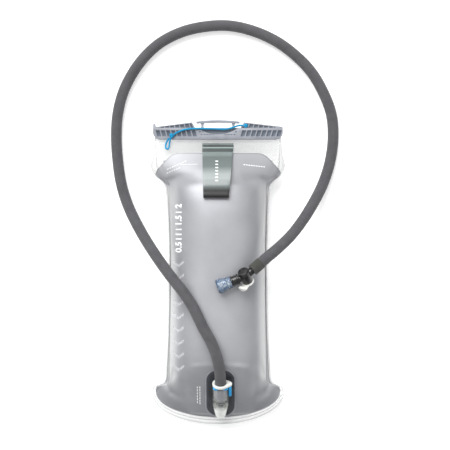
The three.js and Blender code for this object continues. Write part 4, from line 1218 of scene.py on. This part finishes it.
def turned(name, profile, material, place, edge=0.3, sides=72, wrap=True):
    """A turned piece on the Y axis of its place, from a closed profile of radius and height."""
    cos, sin = turns(sides)
    loops = []
    for radius, height in softened(profile, edge, closed=wrap):
        loops.append(np.hstack([radius * cos, np.full((sides, 1), height), radius * sin]))
    return loft(name, loops, material, wrap=wrap, place=place)


def rounded_outline(half_width, half_length, corner):
    """Outline of a rectangle with round corners."""
    steps = 14
    right, top = half_width - corner, half_length - corner
    points = arc(right, top, corner, 0, 90, steps) + arc(-right, top, corner, 90, 180, steps)
    return points + arc(-right, -top, corner, 180, 270, steps) + arc(right, -top, corner, 270, 360, steps)


def plate(name, outline, profile, material, place, wrap=False, sharp=38):
    """A plate in the X-Y plane of its place: outline(inset) gives its edge, and the profile
    the inset and height of each loop."""
    loops = [np.array([(x, y, height) for x, y in outline(inset)]) for inset, height in profile]
    return loft(name, loops, material, wrap=wrap, place=place, sharp=sharp)


def edge_profile(low, high, edge):
    """Rounded outer edge of a plate between two heights, as insets and heights."""
    turn = np.linspace(0, math.pi / 2, 4)
    bottom = [(edge * (1 - math.sin(a)), low + edge * (1 - math.cos(a))) for a in turn]
    top = [(edge * (1 - math.sin(a)), high - edge * (1 - math.cos(a))) for a in turn[::-1]]
    return bottom + top


def set_in(made, place):
    """Moves a piece that was made about the origin to its place, which is in millimetres."""
    made.data.transform(Matrix.Translation(place.translation * MM) @ place.to_3x3().to_4x4())
    return made


def frosted_finish():
    """Translucent moulded plastic: nearly clear round the plug, frosted towards the closed tip,
    and milky where it is seen edge on."""
    material, tree, shader = finish("frosted_plastic", 0.16, {"Coat Weight": 0.4, "Coat Roughness": 0.06})
    edge = node(tree, "LayerWeight", {"Blend": 0.4}).outputs["Facing"]
    haze = speckle(tree, 160, 4)
    coloured(tree, shader, haze, [(0.3, tone(228, 231, 226)), (0.7, tone(246, 247, 243))])
    offset = node(tree, "VectorMath", {
        0: node(tree, "TexCoord").outputs["Object"], 1: line_place.translation * MM,
    }, operation="SUBTRACT").outputs[0]
    way = (line_place.to_3x3() @ Vector((0, 1, 0))).normalized()
    run = node(tree, "VectorMath", {0: offset, 1: way}, operation="DOT_PRODUCT").outputs["Value"]
    frost = node(tree, "MapRange", {
        "Value": run, "From Min": -11.5 * MM, "From Max": -18 * MM, "To Min": 0.05, "To Max": 0.72,
    }).outputs[0]
    tree.links.new(maths(tree, "MULTIPLY_ADD", edge, 0.16, frost), shader.inputs["Alpha"])
    raise_by(tree, shader, haze, 0.08)
    return material


def steel_finish():
    """Drawn stainless wire."""
    material, tree, shader = finish("spring_steel", 0.3, {"Metallic": 1.0})
    drawn = speckle(tree, 900, 3)
    coloured(tree, shader, drawn, [(0.3, tone(150, 153, 158)), (0.7, tone(190, 193, 197))])
    raise_by(tree, shader, drawn, 0.02)
    return material


def patch_outline(inset):
    half_width, half_length, corner = PATCH
    return rounded_outline(half_width - inset, half_length - inset, corner - inset)


def border_outline(inset):
    half_width, half_length, corner = PATCH
    grow = BORDER_GAP + BORDER[0] - inset
    return rounded_outline(half_width + grow, half_length + grow, corner + grow)


dark_plate = moulded("port_plate", tone(50, 52, 56), tone(66, 68, 72), 0.5)
border_plastic = moulded("weld_border", tone(128, 130, 137), tone(150, 152, 158), 0.35)
frosted = frosted_finish()
white_plastic = moulded("white_plastic", tone(222, 222, 217), tone(236, 236, 232), 0.32)
grey_plastic = moulded("grey_plastic", tone(104, 106, 112), tone(122, 124, 130), 0.42)
polished = {"Coat Weight": 0.3, "Coat Roughness": 0.08}
black_plastic = moulded("black_plastic", tone(8, 9, 10), tone(18, 19, 21), 0.3, 0.015, polished)
seal_rubber = moulded("seal_rubber", tone(24, 25, 27), tone(38, 39, 41), 0.6)
spring_steel = steel_finish()

floor_level = PATCH_THICK - 0.35
profile = edge_profile(0, PATCH_THICK, 0.5) + [(3.2, PATCH_THICK), (3.7, floor_level), (12, floor_level)]
port_plate = plate("port_plate", patch_outline, profile, dark_plate, port_place)
dress(port_plate, "root", "port_plate", "port_patch")

width, thick = BORDER
ring = softened([(0, 0), (width, 0), (width, thick * 0.8), (width / 2, thick), (0, thick * 0.6)], 0.25)
border = plate("weld_border", border_outline, ring, border_plastic, port_place, wrap=True)
dress(border, "root", "weld_border", "port_weld_ring")

socket = turned("frosted_socket", SOCKET, frosted, line_place, 0.5, wrap=False)
notch = set_in(prism("notch", NOTCH, -NOTCH_HALF, NOTCH_HALF, frosted), line_place)
socket = shaded(combined(socket, notch, "DIFFERENCE"))
dress(socket, "root", "frosted_plastic", "port_socket")


def foot_outline(inset):
    return rounded_outline(6.2 - inset, 4.6 - inset, 1.6)


# two feet weld the socket to its plate
foot_edge = edge_profile(PATCH_THICK - 0.4, AXIS_HEIGHT - 8.6, 0.3)
for name, y in (("socket_foot_low", -20.0), ("socket_foot_high", 4.0)):
    foot = plate(name, foot_outline, foot_edge, frosted, port_place @ Matrix.Translation((0, y, 0)))
    dress(foot, "root", "frosted_plastic")

poppet = [
    (0, -22.5), (1.3, -22.5), (1.3, -20.1), (5.2, -20.1),
    (5.2, -19.2), (4.0, -19.2), (4.0, -18.3), (0, -18.3),
]
port_poppet = turned("port_poppet", poppet, white_plastic, line_place, 0.2, wrap=False)
dress(port_poppet, "poppet", "white_plastic", "poppet")


def hoop(name, radius, section, height, material, place):
    """A ring of round section, at a height on the Y axis of its place."""
    circle = arc(radius, height, section, 0, 360, 16)[:-1]
    return turned(name, circle, material, place, 0.01, 64)


poppet_ring = hoop("poppet_seal_ring", 4.75, 0.4, -18.6, seal_rubber, line_place)
dress(poppet_ring, "poppet", "seal_rubber", "poppet_seal")


def spring(name, radius, wire, low, high, coils, place):
    """A coil of wire between two heights on the Y axis of its place, closer at its ends."""
    turn = np.linspace(0, 2 * math.pi * coils, coils * 24 + 1)
    height = low + (high - low) * smooth(0, 1, np.linspace(0, 1, len(turn)))
    path = np.stack([radius * np.cos(turn), height, radius * np.sin(turn)], axis=1)
    path = path @ np.array(place.to_3x3()).T + np.array(place.translation)
    return tube(name, path, wire, 10, spring_steel)


poppet_spring = spring("poppet_coil", 3.4, 0.35, -24.9, -20.8, 3, line_place)
dress(poppet_spring, "root", "spring_steel", "poppet_spring")


# ---- Plug ----
# The hose's end: a grey body round a hollow stem with two seals, under a white egg-shaped
# flange. A blue button on the right slides a latch plate that holds it in the socket.
FLANGE = (16.2, 3.4)
FLANGE_HOLE = 4.5
FLANGE_SEAT = 7.3
# the flange's outline: big radius, how far right the small end lies, small radius
EGG = (10.2, 9.8, 4.4)
LATCH = (13.3, 15.8)
LATCH_HOLE = 4.6
LATCH_TRAVEL = 1.9
COIL = (4.75, 9.2)


def egg_outline(inset, steps=20):
    """Outline of the flange: a round end joined by tangents to a smaller one on the right."""
    big, lobe, small = EGG
    tangent = math.degrees(math.acos((big - small) / lobe))
    left = arc(0, 0, big - inset, tangent, 360 - tangent, 3 * steps)
    right = arc(lobe, 0, small - inset, -tangent, tangent, steps)
    return left + right


def egg_plate(name, low, high, hole, counterbore, material):
    """The flange plate with its stepped hole, in loops that run out, up, in and down."""
    # each loop of the hole starts where the outline starts, so that the walls don't twist
    angles = [math.atan2(y, x) for x, y in egg_outline(0)]

    def round_loop(radius, height):
        return np.array([(radius * math.cos(a), height, -radius * math.sin(a)) for a in angles])

    def egg_loop(inset, height):
        return np.array([(x, height, -y) for x, y in egg_outline(inset)])

    loops = [round_loop(hole, low)]
    loops += [egg_loop(inset, height) for inset, height in edge_profile(low, high, 0.8)]
    loops += [round_loop(counterbore + 0.9, high), round_loop(counterbore, high - 0.5)]
    loops += [round_loop(counterbore, low + 1.4), round_loop(hole, low + 1.4)]
    return loft(name, loops, material, wrap=True, place=line_place)


stem = [
    (2.2, -18), (3.1, -18), (3.1, -13.3), (4.9, -12.8), (4.9, -12.3), (4.0, -12.3),
    (4.0, -10.5), (4.9, -10.5),
    (4.9, -8.95), (4.0, -8.95), (4.0, -7.25), (4.9, -7.25), (4.9, -5), (4.2, -4), (4.2, 17.2), (2.2, 17.2),
]
dress(turned("plug_tube", stem, grey_plastic, line_place, 0.2), "plug", "grey_plastic", "plug_stem")
for level, height in (("upper", -8.1), ("lower", -11.4)):
    seal = hoop(f"plug_seal_{level}", 4.85, 0.7, height, seal_rubber, line_place)
    dress(seal, "plug", "seal_rubber", f"plug_o_ring_{level}")
shell = [(4.5, -3.3), (6.4, -3.6), (8.1, 1.4), (8.1, 12.6), (4.5, 12.6)]
plug_body = turned("plug_body", shell, grey_plastic, line_place, 0.5)
# a lip of the body covers the front of the latch, but for the latch's left tip
latch_place = line_place @ Matrix.Rotation(-quarter, 4, "X")
lip = prism("lip", arc(0, 0, 8.3, -114, -16, 18) + arc(0, 0, 7.7, -16, -114, 18), 11.8, 16.0, grey_plastic)
plug_body = shaded(combined(plug_body, set_in(lip, latch_place), "UNION"))
dress(plug_body, "plug", "grey_plastic", "plug_shell")
flange_top = FLANGE[0] + FLANGE[1]
flange = egg_plate("egg_flange", FLANGE[0], flange_top, FLANGE_HOLE, FLANGE_SEAT, white_plastic)
dress(flange, "plug", "white_plastic", "plug_flange")

blue_plastic = moulded("blue_plastic", tone(20, 140, 205), tone(52, 170, 228), 0.34)
latch = plate(
    "latch_plate", lambda inset: rounded_outline(9.4 - inset, 7.4 - inset, 3.2),
    edge_profile(LATCH[0], LATCH[1], 0.5), blue_plastic, latch_place,
)
# its hole lets it slide past the stem, and holds the spring that pushes it out
slot_hole = arc(0, 0, LATCH_HOLE, 90, 270, 20) + arc(LATCH_TRAVEL, 0, LATCH_HOLE, -90, 90, 20)
window = [(0, -1.5), (9.7, -1.5), (9.7, 1.5), (0, 1.5)]
for outline in (slot_hole, window):
    tool = set_in(prism("tool", outline, LATCH[0] - 1, LATCH[1] + 1, blue_plastic), latch_place)
    latch = combined(latch, tool, "DIFFERENCE")
pad = plate(
    "pad", lambda inset: rounded_outline(1.75 - inset, 3.6 - inset, 1.1), edge_profile(1.6, 15.8, 0.7),
    blue_plastic, latch_place @ Matrix.Translation((11.75, 0, 0)),
)
latch = combined(latch, pad, "UNION")
grips = bars("grips", blue_plastic, (0, 0, 0), 5, 1.9, 0.8, 6.0, 0.9)
grip_turn = Matrix.Rotation(quarter, 4, "Y") @ Matrix.Rotation(quarter, 4, "Z")
grips = set_in(grips, line_place @ Matrix.Translation((13.2, 3.6, 0)) @ grip_turn)
latch = combined(latch, grips, "UNION")
latch = eased(latch, 0.12)
latch.name = "blue_button"
dress(latch, "release_button", "blue_plastic", "release_button")
button_place = line_place @ Matrix.Translation((0, 14.55, 0)) @ Matrix.Rotation(-quarter, 4, "Z")
button_coil = spring("button_coil", 0.9, 0.22, *COIL, 3, button_place)
dress(button_coil, "plug", "spring_steel", "button_spring")
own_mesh(button_coil)


# ---- Bite valve ----
# A black valve body on the hose's barb, with a round cap, a white shut-off lever on its core, a
# swivelling collar and an oval silicone mouthpiece. The sleeve ends in a ribbed textile cuff.
# the valve's centre, and the ways that its spindle, barb, mouth and lever point
VALVE_AT = Vector((34, -3.3, 77.5))
SPINDLE = Vector((-0.355, 0.677, 0.643)).normalized()
INLET = Vector((0.74, 0.645, -0.19)).normalized()
MOUTH = Vector((-0.934, -0.356, -0.02)).normalized()
LEVER = Vector((-0.524, -0.714, 0.464)).normalized()


def towards(direction):
    """The place whose Y axis runs from the valve's centre along a direction."""
    turn = Vector((0, 1, 0)).rotation_difference(direction)
    return Matrix.Translation(VALVE_AT) @ turn.to_matrix().to_4x4()


spindle_place = towards(SPINDLE)
inlet_place = towards(INLET)
mouth_place = towards(MOUTH)

barrel = [(0, -8.4), (6.6, -8.4), (6.6, 5.6), (0, 5.6)]
valve = turned("black_valve", barrel, black_plastic, spindle_place, 0.7, wrap=False)
inlet = [
    (0, 0), (5.2, 0), (5.2, 9.6), (4.6, 10.4), (5.2, 11.2),
    (3.4, 11.2), (3.4, 20.4), (2.8, 23.4), (0, 23.4),
]
valve = combined(valve, turned("inlet", inlet, black_plastic, inlet_place, 0.4, wrap=False), "UNION")
neck = [(0, 0), (4.6, 0), (4.6, 15), (3.7, 15), (3.7, 16.6), (4.6, 16.6), (4.6, 17.4), (0, 17.4)]
valve = combined(valve, turned("neck", neck, black_plastic, mouth_place, 0.2, wrap=False), "UNION")
bores = ((4.5, -9, 7, spindle_place), (2.2, 0, 24, inlet_place), (2.6, 0, 18, mouth_place))
for radius, low, high, place in bores:
    outline = [(0, low), (radius, low), (radius, high), (0, high)]
    bore = turned("bore", outline, black_plastic, place, 0.01, wrap=False)
    valve = combined(valve, bore, "DIFFERENCE")
valve = shaded(valve)
dress(valve, "root", "black_plastic", "valve_body")

cap = [(0, 5.9), (6.8, 5.9), (7.2, 6.4), (7.2, 8.3), (6.6, 9.3), (5.7, 9.3), (3.4, 8.7), (0, 8.5)]
round_cap = turned("round_cap", cap, black_plastic, spindle_place, 0.35, wrap=False)
dress(round_cap, "root", "black_plastic", "valve_cap")
core = [(0, -8.6), (4.2, -8.6), (4.2, 5.3), (0, 5.3)]
core = turned("core_plug", core, white_plastic, spindle_place, 0.3, wrap=False)
passage = [(0, -8), (2.4, -8), (2.4, 8), (0, 8)]
passage = turned("passage", passage, white_plastic, mouth_place, 0.01, wrap=False)
dress(combined(core, passage, "DIFFERENCE"), "shutoff", "white_plastic", "valve_core")

# the lever: a disc under the barrel whose rim runs out to a cupped paddle
lever_across = LEVER.cross(SPINDLE).normalized()
lever_turn = Matrix((LEVER, SPINDLE, lever_across)).transposed().to_4x4()
lever_place = Matrix.Translation(VALVE_AT) @ lever_turn @ Matrix.Rotation(-quarter, 4, "X")


def lever_outline(inset):
    """Outline of the lever: a disc that runs out to a round paddle."""
    round_end = arc(0, 0, 7.4 - inset, 40, 320, 34)
    paddle = arc(10.2, 0, 5.1 - inset, -82, 82, 16)
    return round_end + paddle


lever = plate("white_lever", lever_outline, edge_profile(-11.1, -8.9, 0.6), white_plastic, lever_place)
lip = plate(
    "lip", lambda inset: rounded_outline(1.8 - inset, 4.4 - inset, 0.9), edge_profile(-9.6, -6.0, 0.5),
    white_plastic, lever_place @ Matrix.Translation((13.2, 0, 0)),
)
lever = shaded(combined(lever, lip, "UNION"))
dress(lever, "shutoff", "white_plastic", "shutoff_lever")

dress(hoop("mouth_seal", 4.35, 0.45, 15.8, seal_rubber, mouth_place), "root", "seal_rubber", "mouth_o_ring")
collar = [
    (5.0, 8.6), (6.6, 8.6), (7.0, 9.2), (7.0, 10.6), (6.4, 11.1),
    (6.4, 16.4), (7.0, 16.9), (7.0, 18.3), (5.0, 18.3),
]
black_collar = turned("black_collar", collar, black_plastic, mouth_place, 0.3)
dress(black_collar, "mouthpiece", "black_plastic", "mouth_collar")


def silicone_finish():
    """Clear silicone with a cool tint, streaked by its flow: see-through face on, dense at its
    edges, very glossy."""
    material, tree, shader = finish("silicone", 0.1, {"Coat Weight": 1.0, "Coat Roughness": 0.04})
    edge = node(tree, "LayerWeight", {"Blend": 0.45}).outputs["Facing"]
    flow = speckle(tree, 210, 3)
    depth = maths(tree, "MULTIPLY_ADD", flow, 0.9, maths(tree, "MULTIPLY_ADD", edge, 0.55, -0.25))
    coloured(tree, shader, depth, [
        (0.1, tone(200, 212, 224)), (0.26, tone(104, 130, 160)), (0.44, tone(62, 84, 114)),
        (0.8, tone(28, 38, 58)),
    ])
    tree.links.new(maths(tree, "MULTIPLY_ADD", edge, 0.4, 0.5), shader.inputs["Alpha"])
    raise_by(tree, shader, flow, 0.9)
    return material


silicone = silicone_finish()
mouthpiece = [
    (5.4, 18.7), (7.6, 18.7), (7.9, 20.1), (7.2, 20.7), (7.2, 21.7), (8.0, 22.3), (8.0, 23.7), (7.4, 24.3),
    (8.0, 27), (9.3, 31.2), (9.3, 35.2), (8.0, 37.2), (0, 37.2), (0, 35.2),
    (7.0, 34.6), (7.2, 31.2), (5.4, 24.3),
]
mouth = turned("clear_mouthpiece", mouthpiece, silicone, mouth_place, 0.45)
# towards its lip the mouthpiece turns from round to oval
to_mouth = mouth_place.inverted()
for v in mouth.data.vertices:
    local = to_mouth @ (v.co / MM)
    local.z *= 1 - float(smooth(24.3, 33.2, local.y)) * (1 - 7.6 / 9.3)
    v.co = (mouth_place @ local) * MM
slit = prism("slit", [(-6.5, 34.9), (6.5, 34.9), (6.5, 38), (-6.5, 38)], -0.16, 0.16, silicone)
mouth = shaded(combined(mouth, set_in(slit, mouth_place), "DIFFERENCE"))
dress(mouth, "mouthpiece", "silicone", "bite_mouthpiece")


def ring_row_tree():
    """Geometry nodes: a row of like rings round the Z axis."""
    tree, given = new_row_tree("ring_row", ("Pitch", "Radius", "Section"))
    circle = add_step(tree, "GeometryNodeCurvePrimitiveCircle", Radius=given["Radius"])
    circle.inputs["Resolution"].default_value = 56
    section = add_step(tree, "GeometryNodeCurvePrimitiveCircle", Radius=given["Section"])
    section.inputs["Resolution"].default_value = 10
    curves = {"Curve": circle.outputs["Curve"], "Profile_Curve": section.outputs["Curve"]}
    ring = add_step(tree, "GeometryNodeCurveToMesh", **curves)
    pitch = add_step(tree, "ShaderNodeCombineXYZ", Z=given["Pitch"])
    give_row(tree, given, ring.outputs[0], pitch.outputs[0])
    return tree


def cuff_finish():
    """Dark knitted textile with a soft nap."""
    material, tree, shader = finish("cuff_textile", 0.85, {"Sheen Weight": 0.2, "Sheen Roughness": 0.5})
    fuzz = speckle(tree, 1500, 3)
    coloured(tree, shader, fuzz, [(0.3, tone(52, 53, 50)), (0.7, tone(84, 85, 80))])
    raise_by(tree, shader, fuzz, 0.2)
    return material


cuff_textile = cuff_finish()
CUFF = (3.8, 7.2, 11.6, 26.3)
bore_radius, cuff_radius, cuff_start, cuff_end = CUFF
cuff = [
    (bore_radius, cuff_start), (cuff_radius, cuff_start), (cuff_radius, cuff_end), (bore_radius, cuff_end),
]
cuff = turned("textile_cuff", cuff, cuff_textile, inlet_place, 0.6)
dress(cuff, "root", "sleeve_fabric", "hose_cuff")
ribs = grown("cuff_ribs", ring_row_tree(), {
    "Count": 14, "Pitch": 0.99 * MM, "Radius": 7.1 * MM, "Section": 0.42 * MM, "Finish": cuff_textile,
})
upright = Matrix.Rotation(-quarter, 4, "X")
ribs = set_in(ribs, inlet_place @ Matrix.Translation((0, cuff_start + 0.9, 0)) @ upright)
ribs.data.shade_smooth()
dress(ribs, "root", "sleeve_fabric")


# ---- Drink tube and cords ----
# The soft clear tube runs in the sleeve from the plug's nose to the valve's barb. The hose and
# the tether are cords.
TUBE_RADIUS = 4.9
TUBE_BORE = 3.5
# the tube stops a little short of both ends of the sleeve
tube_path = hose_path[6:-6]
drink_tube = tube("drink_tube", tube_path, TUBE_RADIUS, 28, silicone, TUBE_BORE)
dress(drink_tube, None, "tube", "drink_tube")
for made in (sleeve, drink_tube):
    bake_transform(made)
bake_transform(tether)


# ---- Sizes ----
# The box of the model and of what is shown here.
size = {"cad": [list(corner) for corner in cad_box], "visual": [list(corner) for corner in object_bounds()]}
